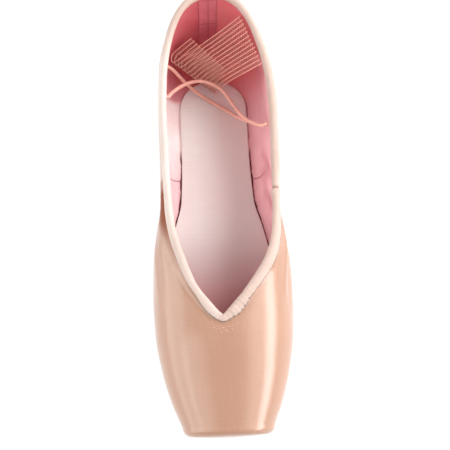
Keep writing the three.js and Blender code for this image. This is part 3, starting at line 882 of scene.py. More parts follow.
def heel_tape_sheet():
    rows = []
    for z in np.linspace(*TAPE_HEIGHTS, 60):
        row = []
        for x in np.linspace(TAPE_MIDDLE - TAPE_HALF, TAPE_MIDDLE + TAPE_HALF, 25):
            hit = lining_tree.ray_cast(Vector((x, MIDDLE_STATION - RAY_STATION, z)), Vector((0, 1, 0)))
            row.append(np.array(hit[0]))
        rows.append(row)
    return Sheet([np.array(rows)], {})


def tape_material():
    material, tree, shader, place = new_material("heel_seam_tape")
    parts = axes(tree, place)
    base = blend(tree, pattern(tree, handled_tone, place, Size=160.0), TAPE_DARK, TAPE_LIGHT)
    lines = []
    for axis, middle, half in (("X", TAPE_SEAM, 0.35), ("Z", TAPE_CROSS, 0.5)):
        lines.append(line_across(tree, parts[axis], middle, half * 0.4, half * 1.6, 0.42))
    weave = pattern(tree, plain_weave, place, Yarns=1800.0)
    set_inputs(tree, shader, {
        "Base Color": blend(tree, calculate(tree, "MAXIMUM", *lines), base, TAPE_LINE),
        "Roughness": 0.8, "Normal": bump(tree, weave, 0.3, 0.12)})
    return material


tape_sheet = heel_tape_sheet()
seam_dip = TAPE_DIP * bell(tape_sheet.points[:, 0], TAPE_SEAM, TAPE_DIP_WIDTH)
tape_out = tape_sheet.points + tape_sheet.normals * (TAPE_THICK - seam_dip)[:, None]
tape_points, tape_faces = tape_sheet.shell(tape_out, tape_sheet.points + tape_sheet.normals * TAPE_LIFT)
heel_tape = make_piece("heel_tape", tape_points, tape_faces, tape_material())
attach(heel_tape, "root")

# Outsole: one thin piece of buffed leather, shorter and narrower than the shoe, skived at its edge
# and sewn in a channel near the rim before the shoe is turned.
PIECE_GAP = 0.3
SOLE_BEVEL = 1.0
CHANNEL_INSET = 3.2
CHANNEL_WIDTH = 0.5
CHANNEL_DEPTH = 0.35
CHANNEL_HALVES = (8.0, 12.0)
EDGE_BREAK = 0.2
BEVEL_SHARE = 0.4
SOLE_SECTIONS = 90
SOLE_ROUND = 17.0


def loft(rings, looped=False):
    """Skin over rings of points that all run the same way round: a closed solid, or a closed loop."""
    rings = np.asarray(rings)
    count = rings.shape[1]
    faces = []
    for r in range(len(rings) if looped else len(rings) - 1):
        here = r * count
        there = (r + 1) % len(rings) * count
        for c in range(count):
            d = (c + 1) % count
            faces.append((here + c, here + d, there + d, there + c))
    if not looped:
        last_ring = (len(rings) - 1) * count
        faces.append(tuple(reversed(range(count))))
        faces.append(tuple(range(last_ring, last_ring + count)))
    return rings.reshape(-1, 3), faces


def end_stations(back, front, ends, middle):
    """Stations from end to end, closer together where the outline is round."""
    turn_in = np.sin(np.radians(np.linspace(2, 90, 22))[::-1])
    near = back + ends * (1 - turn_in)
    return np.concatenate([near[:-1], np.linspace(back + ends, front - ends, middle),
                           (front - ends * (1 - turn_in))[::-1][1:]])


def sole_ring(station, half, top, thick, top_bevel, bottom_bevel, channel):
    """Section of a sole: flat above, rounded edges, with a scored channel below where asked."""
    y = MIDDLE_STATION - station
    right = []
    for angle in np.radians(np.linspace(90, 0, 5)):
        right.append((half - top_bevel * (1 - math.cos(angle)), top - top_bevel * (1 - math.sin(angle))))
    for angle in np.radians(np.linspace(0, 90, 6)):
        right.append((half - bottom_bevel * (1 - math.cos(angle)),
                      top - thick + bottom_bevel * (1 - math.sin(angle))))
    place = half - CHANNEL_INSET
    dips = ((1.0, 0), (0.45, 0.6), (0, 1), (-0.45, 0.6), (-1.0, 0))
    for aside, depth in dips:
        right.append((max(place + aside * CHANNEL_WIDTH, 0.1 - aside * 0.05),
                      top - thick + depth * channel))
    section = [(x, z) for x, z in right] + [(-x, z) for x, z in reversed(right)]
    inner_top = np.linspace(-(half - top_bevel), half - top_bevel, 14)[1:-1]
    section += [(x, top) for x in inner_top]
    return [(x, y, z) for x, z in reversed(section)]


outsole_rings = []
for station in end_stations(SOLE_BACK, SOLE_FRONT, SOLE_ROUND, SOLE_SECTIONS):
    share = (station - SOLE_BACK) / (SOLE_FRONT - SOLE_BACK)
    half = float(sole_half(station))
    top = float(table_curve(LAST, FLOOR, seat_share(station))) - PIECE_GAP
    thick = float(table_curve(SOLE, SOLE_THICK, share))
    bevel = min(SOLE_BEVEL, half * BEVEL_SHARE)
    groove = CHANNEL_DEPTH * float(smooth_step(half, *CHANNEL_HALVES))
    outsole_rings.append(sole_ring(station, half, top, thick, EDGE_BREAK, bevel, groove))


LEATHER_DARK = (168, 126, 92)
LEATHER_LIGHT = (196, 154, 118)
LEATHER_AGED = (150, 110, 80)


def leather_material():
    material, tree, shader, place = new_material("buffed_leather")
    nap = noise(tree, place, 900.0, 5.0, 0.7)
    base = blend(tree, nap, LEATHER_DARK, LEATHER_LIGHT)
    set_inputs(tree, shader, {
        "Base Color": age(tree, place, 40.0, 0.5, base, LEATHER_AGED),
        "Roughness": ramp(tree, nap, 0, 1, 0.75, 0.95), "Specular IOR Level": 0.25,
        "Normal": bump(tree, nap, 0.5, 0.3)})
    return material


outsole_points, outsole_faces = loft(outsole_rings)
outsole = make_piece("outsole_leather", outsole_points, outsole_faces, leather_material())
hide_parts("outsole")
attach(outsole, "root")

# Insole: fibre board covered in smooth pale cloth with fine cross threads, glued in on top of the
# upper's drawn-in edge.
INSOLE_ROUND = 16.0
insole_rings = []
for station in end_stations(INSOLE_BACK, INSOLE_FRONT, INSOLE_ROUND, SOLE_SECTIONS):
    half = float(insole_half(station))
    wall = float(wall_thickness(seat_share(station)))
    top = float(table_curve(LAST, FLOOR, seat_share(station))) + wall + PIECE_GAP + INSOLE_THICK
    bevel = min(INSOLE_BEVEL, half * BEVEL_SHARE)
    insole_rings.append(sole_ring(station, half, top, INSOLE_THICK, bevel, EDGE_BREAK, 0.0))


INSOLE_DARK = (223, 219, 215)
INSOLE_LIGHT = (230, 227, 223)
INSOLE_AGED = (213, 203, 200)
# Painted shade: pinker to the right of the middle, and reddened towards the toe inside the box
INSOLE_SHADE_RIGHT = (212, 190, 187)
INSOLE_TOE_SHADE = (196, 112, 114)
SHADE_RIGHT_X = (-12.0, 4.0)
TOE_SHADE_STATIONS = (118.0, 186.0)


def insole_material():
    material, tree, shader, place = new_material("pale_insole_cloth")
    threads = pattern(tree, uneven_yarns, place, Across=90.0, Along=2200.0)
    base = blend(tree, threads, INSOLE_DARK, INSOLE_LIGHT)
    aged = age(tree, place, 35.0, 0.25, base, INSOLE_AGED)
    parts = axes(tree, place)
    # Painted shade towards the right and towards the toe
    beside = ramp(tree, parts["X"], SHADE_RIGHT_X[0] * MM, SHADE_RIGHT_X[1] * MM, 0.0, 0.7)
    shaded_right = blend(tree, beside, aged, INSOLE_SHADE_RIGHT)
    back, front = ((MIDDLE_STATION - station) * MM for station in TOE_SHADE_STATIONS)
    toe_shade = ramp(tree, parts["Y"], back, front, kind="SMOOTHSTEP")
    set_inputs(tree, shader, {
        "Base Color": blend(tree, toe_shade, shaded_right, INSOLE_TOE_SHADE),
        "Roughness": ramp(tree, threads, 0, 1, 0.42, 0.56), "Specular IOR Level": 0.4,
        "Normal": bump(tree, threads, 0.25, 0.15)})
    return material


insole_points, insole_faces = loft(insole_rings)
insole = make_piece("insole_board", insole_points, insole_faces, insole_material())
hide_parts("insole")
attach(insole, "root")

# Binding: a strip of cream tape folded over the collar's edge and sewn down as the drawstring's
# casing. It gathers round the throat's point, and its ends overlap at the right side seam.
BINDING_THICK = 2.05
BINDING_DEEP = 2.3
BINDING_DROP = 0.6
BINDING_STEP = 0.8
GATHER_LENGTH = 2.3
GATHER_HEIGHT = 0.24
JOINT_STATION = 112.0
JOINT_LAP = 7.0
JOINT_STEP = 0.55
TIP_FOOT = 0.6
TIP_REACH = 7.0
TIP_FLAT = 0.3
TIP_SIDES = 0.8
RIGHT_FOOT = 0.8
RIGHT_PUFF = 0.8
JOINT_DIP = 0.35
JOINT_DIP_AT = -0.6
JOINT_WIDTH = 0.7
GATHER_MIDDLE = 4.0
GATHER_REACH = 20.0
GATHER_EVEN = 0.6
GATHER_UNEVEN = 0.4
GATHER_DRIFT = 1.7
GATHER_SHIFT = 0.6
RIGHT_GATHER = 0.9
RIGHT_FRONT = (118.0, 150.0)
RIGHT_SIDE = (18.0, 45.0, 98.0, 112.0)
TIP_SIDE_GAP = 8.0
TIP_SIDE_REACH = 6.5
SECTION_STEPS = 23
# How the tape's width wanders along the collar: height, length and shift of each wave
WANDER = [(0.07, 5.3, 0.0), (0.05, 2.9, 1.0)]


def collar_loop():
    """Points of the collar in order from the heel, with normal, outward way over the edge and wall."""
    order = edge_loop(upper_sheet)
    points = upper_sheet.points[order]
    run = path_run(np.concatenate([points, points[:1]]))
    even = np.linspace(0, run[-1], round(run[-1] / BINDING_STEP), endpoint=False)
    found = []
    for array in (points, upper_sheet.normals[order], wall_thickness(share_of[order])[:, None]):
        around = np.concatenate([array, array[:1]])
        found.append(np.stack([np.interp(even, run, around[:, k]) for k in range(array.shape[1])], axis=1))
    places, normals, walls = found
    ways = unit(np.roll(places, -1, axis=0) - np.roll(places, 1, axis=0))
    for _ in range(2):
        normals = (np.roll(normals, 1, axis=0) + 2 * normals + np.roll(normals, -1, axis=0)) / 4
    normals = unit(normals - ways * np.sum(normals * ways, axis=1, keepdims=True))
    return even, places, normals, np.cross(ways, normals), walls


collar_run, collar_points, collar_normals, collar_out, collar_walls = collar_loop()
collar_station = MIDDLE_STATION - collar_points[:, 1]
from_tip = collar_run - collar_run[collar_points[:, 1].argmin()]
from_tip *= np.sign(collar_points[len(collar_points) // 4, 0]) * -1
at_left = collar_points[:, 0] < 0
at_right = collar_points[:, 0] > 0
joint_index = np.where(at_left, np.inf, np.abs(collar_station - JOINT_STATION)).argmin()
from_joint = from_tip - from_tip[joint_index]
joint_way = np.sign(from_tip[joint_index])
lap_run = -from_joint * joint_way
lap = JOINT_STEP * (lap_run > 0) * (1 - smooth_step(lap_run, JOINT_LAP * 0.4, JOINT_LAP))
lap -= JOINT_DIP * bell(lap_run, JOINT_DIP_AT, JOINT_WIDTH)
gather_fade = bell(from_tip, GATHER_MIDDLE, GATHER_REACH)
gather_fade += RIGHT_GATHER * at_right * (collar_station > RIGHT_FRONT[0])
gathers = GATHER_HEIGHT * gather_fade * np.sin(2 * math.pi * from_tip / GATHER_LENGTH)
gathers *= GATHER_EVEN + GATHER_UNEVEN * np.sin(from_tip * GATHER_DRIFT + GATHER_SHIFT)
at_tip = bell(from_tip, 0, TIP_REACH)
right_front = smooth_step(collar_station, *RIGHT_FRONT) * at_right * (1 - at_tip)
tip_sides = bell(np.abs(from_tip), TIP_SIDE_GAP, TIP_SIDE_REACH)
right_side = rise_and_fall(collar_station, *RIGHT_SIDE) * at_right
foot_spread = TIP_FOOT * at_tip + TIP_SIDES * tip_sides + RIGHT_FOOT * right_front
wander = sum(height * np.sin(collar_run / length + shift) for height, length, shift in WANDER)


def binding_rings():
    """Sections of the tape: over the outside as an oval roll, then back along both faces of the wall."""
    rings = []
    for i in range(len(collar_points)):
        half_wall = collar_walls[i, 0] / 2 + PIECE_GAP
        foot = math.asin(math.sqrt(max(1 - (half_wall / BINDING_THICK) ** 2, 0.01)))
        middle = collar_points[i] - collar_normals[i] * collar_walls[i, 0] / 2 - collar_out[i] * BINDING_DROP
        section = []
        for angle in np.linspace(-foot, math.pi + foot, SECTION_STEPS):
            puffed = 1 + (gathers[i] * max(math.cos(angle) * 0.6 + 0.4, 0) + wander[i]) / BINDING_DEEP
            thick = BINDING_THICK * puffed + lap[i] * 0.8
            thick += RIGHT_PUFF * right_side[i] * max(math.cos(angle), 0)
            deep = BINDING_DEEP * puffed + lap[i]
            if math.sin(angle) < 0:
                deep *= 1 + foot_spread[i]
            else:
                deep *= 1 - TIP_FLAT * at_tip[i]
            section.append((thick * math.cos(angle), deep * math.sin(angle)))
        section[0] = (half_wall, section[0][1])
        section[-1] = (-half_wall, section[-1][1])
        low = section[0][1]
        high = BINDING_DROP + PIECE_GAP
        for share in (0.35, 0.7, 1.0):
            section.append((-half_wall, low + (high - low) * share))
        for share in (1.0, 0.7, 0.35):
            section.append((half_wall, low + (high - low) * share))
        rings.append([middle + collar_normals[i] * a + collar_out[i] * b for a, b in section])
    return np.array(rings)


BINDING_DARK = (184, 160, 148)
BINDING_LIGHT = (192, 169, 157)
# Paler tape for the left side, painted light
BINDING_PAINTED_LIGHT = (214, 202, 194)
BINDING_AGED = (186, 158, 145)
# For the dark joint line and painted shade on the inner faces and the foot
BINDING_JOINT_AND_SHADE = (112, 70, 52)


def binding_material():
    material, tree, shader, place = new_material("cream_binding_tape", mapped=True)
    yarns = pattern(tree, uneven_yarns, place, Across=900.0, Along=140.0)
    plain = blend(tree, yarns, BINDING_DARK, BINDING_LIGHT)
    # The left side is painted paler, a painted pool of light
    base = blend(tree, mark(tree, "painted_light"), plain, BINDING_PAINTED_LIGHT)
    aged = age(tree, place, 55.0, 0.35, base, BINDING_AGED)
    weave = pattern(tree, plain_weave, place, Yarns=2600.0)
    # Darkened at the joint line and by painted shade on the inner faces and the foot
    set_inputs(tree, shader, {
        "Base Color": blend(tree, mark(tree, "joint_and_shade"), aged, BINDING_JOINT_AND_SHADE), "Roughness": 0.62,
        "Specular IOR Level": 0.35, "Sheen Weight": 0.15, "Normal": bump(tree, weave, 0.4, 0.12)})
    return material


# Darker thread and painted shade at the joint, painted shade on the right side's inner face, along the foot
# and inside the left edge, and a left side painted paler as painted light, marked on columns of the tape's
# section
TAPE_ROUND = 14.0
INNER_FACE = slice(8, 21)
INNER_EDGE = slice(21, 24)
FOOT_EDGE = [0, -2, -1]
JOINT_SHADE = 0.85
JOINT_SHADE_AT = -0.3
RIGHT_SHADE = 0.08
INNER_SHADE = 0.8
FOOT_SHADES = (0.6, 0.3)
INNER_RUN = (20.0, 34.0, 76.0, 92.0)
PALE_SIDE = (8.0, 24.0)
PALE_BACK = (14.0, 44.0)
PALE_FRONT = (112.0, 146.0)
PALE_STRENGTH = 0.85
PALE_TOE_SIDE = -2.0
PALE_TOE = 0.35
tape_rings = binding_rings()
tape_points, tape_faces = loft(tape_rings, looped=True)
ring_count = tape_rings.shape[1]
tape_uv = np.stack(np.meshgrid(np.linspace(0, TAPE_ROUND, ring_count), collar_run), axis=-1).reshape(-1, 2)
joint_line = JOINT_SHADE * bell(lap_run, JOINT_SHADE_AT, JOINT_WIDTH)
joint_and_shade_mark = np.repeat(joint_line[:, None], ring_count, axis=1)
inner_line = rise_and_fall(collar_station, *INNER_RUN)
# Painted shade on the right side's inner face, inside the left edge and along the foot
joint_and_shade_mark[:, INNER_FACE] += RIGHT_SHADE * right_side[:, None]
joint_and_shade_mark[:, INNER_EDGE] = (INNER_SHADE * inner_line * at_left)[:, None]
joint_and_shade_mark[:, FOOT_EDGE] = np.where(at_left, *FOOT_SHADES)[:, None]
# Painted light: the left side of the tape paler, and the left of the throat a little
toward_front = smooth_step(collar_station, *PALE_FRONT)
painted_light_mark = smooth_step(-collar_points[:, 0], *PALE_SIDE) * (1 - toward_front)
painted_light_mark *= PALE_STRENGTH * smooth_step(collar_station, *PALE_BACK)
painted_light_mark += PALE_TOE * (collar_points[:, 0] < PALE_TOE_SIDE) * toward_front
binding = make_piece("binding_tape", tape_points, tape_faces, binding_material(), tape_uv,
                     {"joint_and_shade": joint_and_shade_mark.ravel(), "painted_light": np.repeat(painted_light_mark, ring_count)})
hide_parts("binding")
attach(binding, "root")

# Stitches: two-ply cotton thread in a running stitch all round the collar.
# They hold the binding's outer edge down to the satin.
STITCH_LENGTH = 1.1
STITCH_STEP = 2.1
STITCH_THICK = 0.26
STITCH_EDGE = 3.6
STITCH_LIFT = 0.02
STITCH_SPREAD = 1.5
STITCH_DARK = (160, 118, 98)
STITCH_LIGHT = (186, 148, 128)


def end_tree(tree, shape, thread, end):
    """Makes what a geometry tree repeats real and gives it its thread."""
    real = add_node(tree, "GeometryNodeRealizeInstances", {0: shape})
    done = add_node(tree, "GeometryNodeSetMaterial", {"Geometry": real.outputs[0], "Material": thread})
    tree.links.new(done.outputs[0], end)


def stitch_tree():
    """Repeats one stitch along a path, with its sizes as inputs."""
    tree, start, end = new_group("Geometry", "Running stitch", {
        "Path": "Geometry", "Step": "Float", "Length": "Float", "Thickness": "Float",
        "Thread": "Material"}, "Stitches", "Geometry")
    curve = add_node(tree, "GeometryNodeMeshToCurve", {"Mesh": start["Path"]}).outputs[0]
    even = add_node(tree, "GeometryNodeCurveToPoints", {
        "Curve": curve, "Length": start["Step"]}, mode="LENGTH")
    ball = add_node(tree, "GeometryNodeMeshUVSphere", {"Segments": 7, "Rings": 6, "Radius": 0.5})
    smooth = add_node(tree, "GeometryNodeSetShadeSmooth", {"Geometry": ball.outputs[0]})
    size = add_node(tree, "ShaderNodeCombineXYZ", {
        "X": start["Thickness"], "Y": start["Thickness"], "Z": start["Length"]})
    copies = add_node(tree, "GeometryNodeInstanceOnPoints", {
        "Points": even.outputs["Points"], "Instance": smooth.outputs[0],
        "Rotation": even.outputs["Rotation"], "Scale": size.outputs[0]})
    end_tree(tree, copies.outputs[0], start["Thread"], end)
    return tree


def grow(name, tree, paths, values):
    """Runs a geometry tree on paths of points and keeps its result as a plain mesh."""
    points = np.concatenate(paths) * MM
    edges = []
    start = 0
    for path in paths:
        edges += [(i, i + 1) for i in range(start, start + len(path) - 1)]
        start += len(path)
    mesh = bpy.data.meshes.new(name)
    mesh.from_pydata(points.tolist(), edges, [])
    piece = bpy.data.objects.new(name, mesh)
    bpy.context.scene.collection.objects.link(piece)
    modifier = piece.modifiers.new(name, "NODES")
    modifier.node_group = tree
    for item in tree.interface.items_tree:
        if item.item_type == "SOCKET" and item.in_out == "INPUT" and item.name in values:
            modifier[item.identifier] = values[item.name]
    shown = piece.evaluated_get(bpy.context.evaluated_depsgraph_get())
    made = bpy.data.meshes.new_from_object(shown)
    piece.modifiers.clear()
    piece.data = made
    return piece


def thread_material(name, dark, light):
    material, tree, shader, place = new_material(name)
    twist = noise(tree, place, 2500.0, 2.0)
    set_inputs(tree, shader, {
        "Base Color": blend(tree, twist, dark, light), "Roughness": 0.6,
        "Normal": bump(tree, twist, 0.3, 0.1)})
    return material


def beside_collar(distance, lift):
    """Path on the satin all round the collar, at a distance from its edge."""
    upper_tree = upper_sheet.tree(upper_outer)
    path = []
    for point, out, spread in zip(collar_points, collar_out, foot_spread):
        beside = point - out * (distance + STITCH_SPREAD * spread)
        near, normal, _, _ = upper_tree.find_nearest(Vector(beside))
        path.append(np.array(near + normal * lift))
    return np.array(path + path[:1])


running_stitch = stitch_tree()
stitches = grow("binding_stitches", running_stitch, [beside_collar(STITCH_EDGE, STITCH_LIFT)], {
    "Step": STITCH_STEP * MM, "Length": STITCH_LENGTH * MM, "Thickness": STITCH_THICK * MM,
    "Thread": thread_material("peach_thread", STITCH_DARK, STITCH_LIGHT)})
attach(stitches, "root")

# Throat tucks: small gathers of the satin itself, drawn up under the throat's point where the
# binding is sewn on. Each has its x, how far ahead of the point it lies, and its turn in degrees.
TUCKS = [
    (-5.6, 5.6, 20), (-4.0, 6.2, -10), (-2.9, 6.8, 35), (-1.0, 5.8, 0), (0.3, 6.9, -30), (1.9, 5.5, 15),
    (3.3, 5.2, -20), (3.2, 6.7, 40), (1.0, 7.8, 10), (4.9, 4.2, -35), (-2.0, 7.9, -15), (6.3, 3.4, -25),
]
TUCK_HALF = 0.3
TUCK_LENGTH = 1.0
TUCK_THICK = 0.55
# The tucks are coloured paler than the satin, a painted highlight for their glints
TUCK_GLINT_DARK = (176, 136, 114)
TUCK_GLINT_LIGHT = (206, 168, 148)
tuck_paths = []
for x, ahead, turn in TUCKS:
    across = math.cos(math.radians(turn)) * TUCK_HALF
    onward = math.sin(math.radians(turn)) * TUCK_HALF
    ends = [on_last("top", x + k * across, THROAT_STATION + ahead + k * onward) for k in (-1, 1)]
    tuck_paths.append(np.array(ends))
tucks = grow("throat_tucks", running_stitch, tuck_paths, {
    "Step": TUCK_LENGTH * MM, "Length": TUCK_LENGTH * MM, "Thickness": TUCK_THICK * MM,
    "Thread": thread_material("satin_tucks_painted_glint", TUCK_GLINT_DARK, TUCK_GLINT_LIGHT)})
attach(tucks, "root")

# Drawstring: round elastic in a plaited cotton cover, drawn through the binding as its casing.
# Only the loop is made here, which comes out at the right of the collar and lies across the heel.
CORD_DIAMETER = 2.0
CORD_STEP = 0.5
CORD_SIDES = 14
CORD_DARK = (222, 160, 142)
CORD_LIGHT = (238, 184, 166)
CORD_AGED = (210, 146, 132)
CORD_ROUTE = [
    (27.7, 74.6, 45.8), (25.4, 72.2, 40.4), (19.9, 64.6, 31.6), (15.4, 57.0, 26.0),
    (12.2, 49.8, 22.6), (8.8, 42.7, 21.2), (5.0, 37.1, 21.6), (-0.5, 33.6, 22.6),
    (-7.1, 31.8, 23.4), (-14.2, 33.5, 24.4), (-19.5, 37.2, 26.0), (-23.6, 41.7, 28.0),
    (-26.6, 45.4, 29.4), (-28.2, 43.9, 30.8), (-28.6, 38.2, 32.2), (-28.0, 31.4, 33.0),
    (-26.4, 26.4, 31.4), (-23.0, 25.6, 26.8), (-18.8, 27.6, 21.0), (-12.9, 30.5, 14.2), (-6.2, 33.9, 9.6),
    (0.0, 38.3, 8.9), (7.0, 44.6, 11.4), (13.6, 53.6, 18.0), (19.6, 61.6, 26.4),
    (25.4, 69.2, 35.4), (27.8, 73.0, 43.2),
]


def in_frame(route):
    return np.array([(x, MIDDLE_STATION - station, z) for x, station, z in route])


def tube(path, radius, sides):
    """Rings round a path that turn as little as they can."""
    ways = unit(np.gradient(path, axis=0))
    side = np.cross(ways[0], (0.3, 0.2, 1.0))
    angles = np.linspace(0, 2 * math.pi, sides, endpoint=False)
    rings = []
    for point, way in zip(path, ways):
        side = side - way * np.dot(side, way)
        side /= np.linalg.norm(side)
        other = np.cross(way, side)
        rings.append([point + radius * (math.cos(a) * side + math.sin(a) * other) for a in angles])
    return np.array(rings)


def cord_material():
    material, tree, shader, place = new_material("plaited_cord", mapped=True)
    plait = pattern(tree, plain_weave, place, Yarns=1600.0)
    base = blend(tree, plait, CORD_DARK, CORD_LIGHT)
    set_inputs(tree, shader, {
        "Base Color": age(tree, place, 120.0, 0.3, base, CORD_AGED), "Roughness": 0.7,
        "Sheen Weight": 0.2, "Normal": bump(tree, plait, 0.5, 0.2)})
    return material


cord_path = smooth_path(in_frame(CORD_ROUTE), CORD_STEP)
cord_points, cord_faces = loft(tube(cord_path, CORD_DIAMETER / 2, CORD_SIDES))
cord_run = np.arange(len(cord_path))[:, None] * CORD_STEP
cord_around = np.linspace(0, math.pi * CORD_DIAMETER, CORD_SIDES, endpoint=False)[None]
cord_uv = np.stack([cord_around + cord_run, cord_run - cord_around], axis=-1).reshape(-1, 2)
drawstring = make_piece("drawstring_cord", cord_points, cord_faces, cord_material(), cord_uv)
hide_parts("drawstring")
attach(drawstring, "root")

# Heel elastic: open knitted elastic of thin rubber cords held apart by zigzag threads. One end is
# sewn under the binding at the right, and the strip lies folded across the heel.
ELASTIC_EDGES = [
    (16.4, 9.0, 55.0, 27.6, 37.0, 47.2),
    (4.0, 12.0, 44.0, 17.6, 34.6, 33.6),
    (-8.0, 14.8, 34.4, 10.0, 32.6, 22.4),
    (-18.0, 17.3, 28.0, 5.0, 31.4, 13.0),
    (-23.6, 18.7, 24.8, 1.6, 31.8, 8.4),
    (-24.2, 17.1, 26.4, 0.2, 29.8, 10.0),
    (-23.6, 15.4, 28.0, 0.8, 27.3, 12.6),
    (-18.3, 13.6, 33.2, 4.8, 27.6, 20.0),
    (-12.0, 11.7, 38.6, 9.2, 27.5, 26.6),
]
ELASTIC_CORDS = 13
ELASTIC_CORD_THICK = 0.5
ELASTIC_THREAD_THICK = 0.19
ELASTIC_ZIGZAG = 0.75
ELASTIC_STEPS = 160
ELASTIC_MARGIN = 0.02
ELASTIC_END = 0.004
ELASTIC_CORD_SIDES = 8
ELASTIC_THREAD_SIDES = 5
RUBBER_DARK = (232, 168, 154)
RUBBER_LIGHT = (243, 190, 174)
NET_DARK = (230, 170, 148)
NET_LIGHT = (246, 196, 174)


def strip_tree():
    """Round threads along many paths, with their thickness as an input."""
    tree, start, end = new_group("Geometry", "Round threads", {
        "Paths": "Geometry", "Thickness": "Float", "Sides": "Int",
        "Thread": "Material"}, "Threads", "Geometry")
    curve = add_node(tree, "GeometryNodeMeshToCurve", {"Mesh": start["Paths"]}).outputs[0]
    half = calculate(tree, "MULTIPLY", start["Thickness"], 0.5)
    ring = add_node(tree, "GeometryNodeCurvePrimitiveCircle", {"Resolution": start["Sides"], "Radius": half})
    skin = add_node(tree, "GeometryNodeCurveToMesh", {
        "Curve": curve, "Profile Curve": ring.outputs[0], "Fill Caps": True})
    smooth = add_node(tree, "GeometryNodeSetShadeSmooth", {"Geometry": skin.outputs[0]})
    end_tree(tree, smooth.outputs[0], start["Thread"], end)
    return tree


edges = np.array(ELASTIC_EDGES)
edge_one = smooth_path(in_frame(edges[:, :3]), None)
edge_two = smooth_path(in_frame(edges[:, 3:]), None)


def strip_point(along, across):
    """Points of the strip at shares of its length and width."""
    at = np.asarray(along) * (len(edge_one) - 1)
    index = np.arange(len(edge_one))
    first, second = (np.stack([np.interp(at, index, edge[:, k]) for k in range(3)], axis=-1)
                     for edge in (edge_one, edge_two))
    across = np.asarray(across)[..., None]
    return first * (1 - across) + second * across


strip_length = float(path_run((edge_one + edge_two) / 2)[-1])
cord_places = np.linspace(ELASTIC_MARGIN, 1 - ELASTIC_MARGIN, ELASTIC_CORDS)
cord_steps = np.linspace(0, 1, ELASTIC_STEPS)
elastic_paths = [strip_point(cord_steps, np.full(ELASTIC_STEPS, place)) for place in cord_places]
zigzag_count = round(strip_length / ELASTIC_ZIGZAG) + 1
zigzag_steps = np.linspace(ELASTIC_END, 1 - ELASTIC_END, zigzag_count)
thread_paths = []
for left, right in zip(cord_places, cord_places[1:]):
    for phase in (0, 1):
        swing = (np.arange(zigzag_count) + phase) % 2
        thread_paths.append(strip_point(zigzag_steps, left + (right - left) * swing))
round_threads = strip_tree()
elastic = grow("elastic_strip", round_threads, elastic_paths, {
    "Thickness": ELASTIC_CORD_THICK * MM, "Sides": ELASTIC_CORD_SIDES,
    "Thread": thread_material("pale_elastic_cord", RUBBER_DARK, RUBBER_LIGHT)})
net = grow("elastic_net", round_threads, thread_paths, {
    "Thickness": ELASTIC_THREAD_THICK * MM, "Sides": ELASTIC_THREAD_SIDES,
    "Thread": thread_material("elastic_net_thread", NET_DARK, NET_LIGHT)})
with bpy.context.temp_override(active_object=elastic, selected_editable_objects=[elastic, net]):
    bpy.ops.object.join()
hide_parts("heel_elastic")
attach(elastic, "root")

# Stage: a pale floor that glows a little, long soft lights low at the right and left with weaker
# ones above, behind and in front, and the camera at the photograph's angle, with its lens set
# for a picture 450 pixels square.
FLOOR_HALF = 4000.0
FLOOR_DARK = (150, 150, 150)
FLOOR_LIGHT = (153, 153, 153)
WHITE = (1.0, 1.0, 1.0)
COOL_WHITE = (0.97, 0.99, 1.0)
# Each light's name, place, target, width, length, watts and colour
LIGHTS = [
    ("right_softbox", (568, -30, 335), (0, -30, 30), 225, 1200, 6.2, COOL_WHITE),
    ("right_upper", (373, -60, 562), (0, -40, 30), 206, 900, 1.0, WHITE),
    ("back_softbox", (381, 340, 458), (0, 20, 25), 300, 300, 2.2, WHITE),
    ("left_softbox", (-603, -40, 274), (0, -40, 30), 540, 1000, 3.3, WHITE),
    ("left_strip", (-645, -40, 110), (0, -40, 30), 160, 1000, 0.35, WHITE),
    ("front_softbox", (-352, -295, 490), (0, 0, 30), 360, 360, 0.75, WHITE),
]
SKY_SIDES = 0.66
SKY_MIDDLE = 0.53
CAMERA_PLACE = (-12.0, -187.0, 458.0)
CAMERA_TARGET = (2.9, -6.0, 25.0)
CAMERA_ROLL = -2.9
CAMERA_FOCUS = 864.0
IMAGE_SIDE = 450.0
SENSOR = 36.0


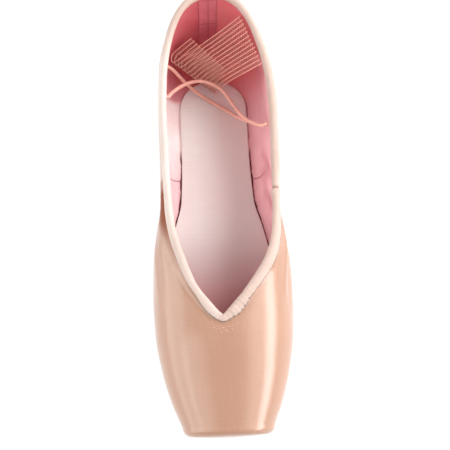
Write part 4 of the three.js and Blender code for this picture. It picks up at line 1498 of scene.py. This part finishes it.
def floor_material():
    material, tree, shader, place = new_material("pale_floor")
    tone = pattern(tree, handled_tone, place, Size=3.0)
    set_inputs(tree, shader, {
        "Base Color": blend(tree, tone, FLOOR_DARK, FLOOR_LIGHT), "Roughness": 0.9,
        "Specular IOR Level": 0.0, "Emission Color": (*WHITE, 1.0), "Emission Strength": 0.75})
    return material


floor_corners = [(x * FLOOR_HALF, y * FLOOR_HALF, 0) for x, y in ((-1, -1), (1, -1), (1, 1), (-1, 1))]
floor = make_piece("pale_floor", floor_corners, [(0, 1, 2, 3)], floor_material())


def soft_light(name, place, target, width, length, watts, colour):
    lamp = bpy.data.lights.new(name, "AREA")
    lamp.shape = "RECTANGLE"
    lamp.size = length * MM
    lamp.size_y = width * MM
    lamp.energy = watts
    lamp.color = colour
    holder = bpy.data.objects.new(name, lamp)
    holder.location = Vector(place) * MM
    holder.rotation_euler = (Vector(target) - Vector(place)).to_track_quat("-Z", "Y").to_euler()
    bpy.context.scene.collection.objects.link(holder)


for light in LIGHTS:
    soft_light(*light)

world = bpy.data.worlds.new("studio")
world.use_nodes = True
sky = world.node_tree
sky_place = add_node(sky, "ShaderNodeTexCoord").outputs["Generated"]
sideways = calculate(sky, "ABSOLUTE", axes(sky, sky_place)["X"])
set_inputs(sky, sky.nodes["Background"], {
    "Strength": ramp(sky, sideways, 0, 1, SKY_MIDDLE, SKY_SIDES), "Color": (*WHITE, 1.0)})
scene = bpy.context.scene
scene.world = world
scene.view_settings.view_transform = "Standard"

camera_data = bpy.data.cameras.new("photo_camera")
camera_data.sensor_width = SENSOR
camera_data.lens = CAMERA_FOCUS / IMAGE_SIDE * SENSOR
camera = bpy.data.objects.new("photo_camera", camera_data)
forward = (Vector(CAMERA_TARGET) - Vector(CAMERA_PLACE)).normalized()
level = forward.cross(Vector((0, 1, 0))).normalized()
above = level.cross(forward)
roll = math.radians(CAMERA_ROLL)
right_way = level * math.cos(roll) + above * math.sin(roll)
up_way = above * math.cos(roll) - level * math.sin(roll)
turned = Matrix((right_way, up_way, -forward)).transposed().to_4x4()
camera.matrix_world = Matrix.Translation(Vector(CAMERA_PLACE) * MM) @ turned
scene.collection.objects.link(camera)
scene.camera = camera
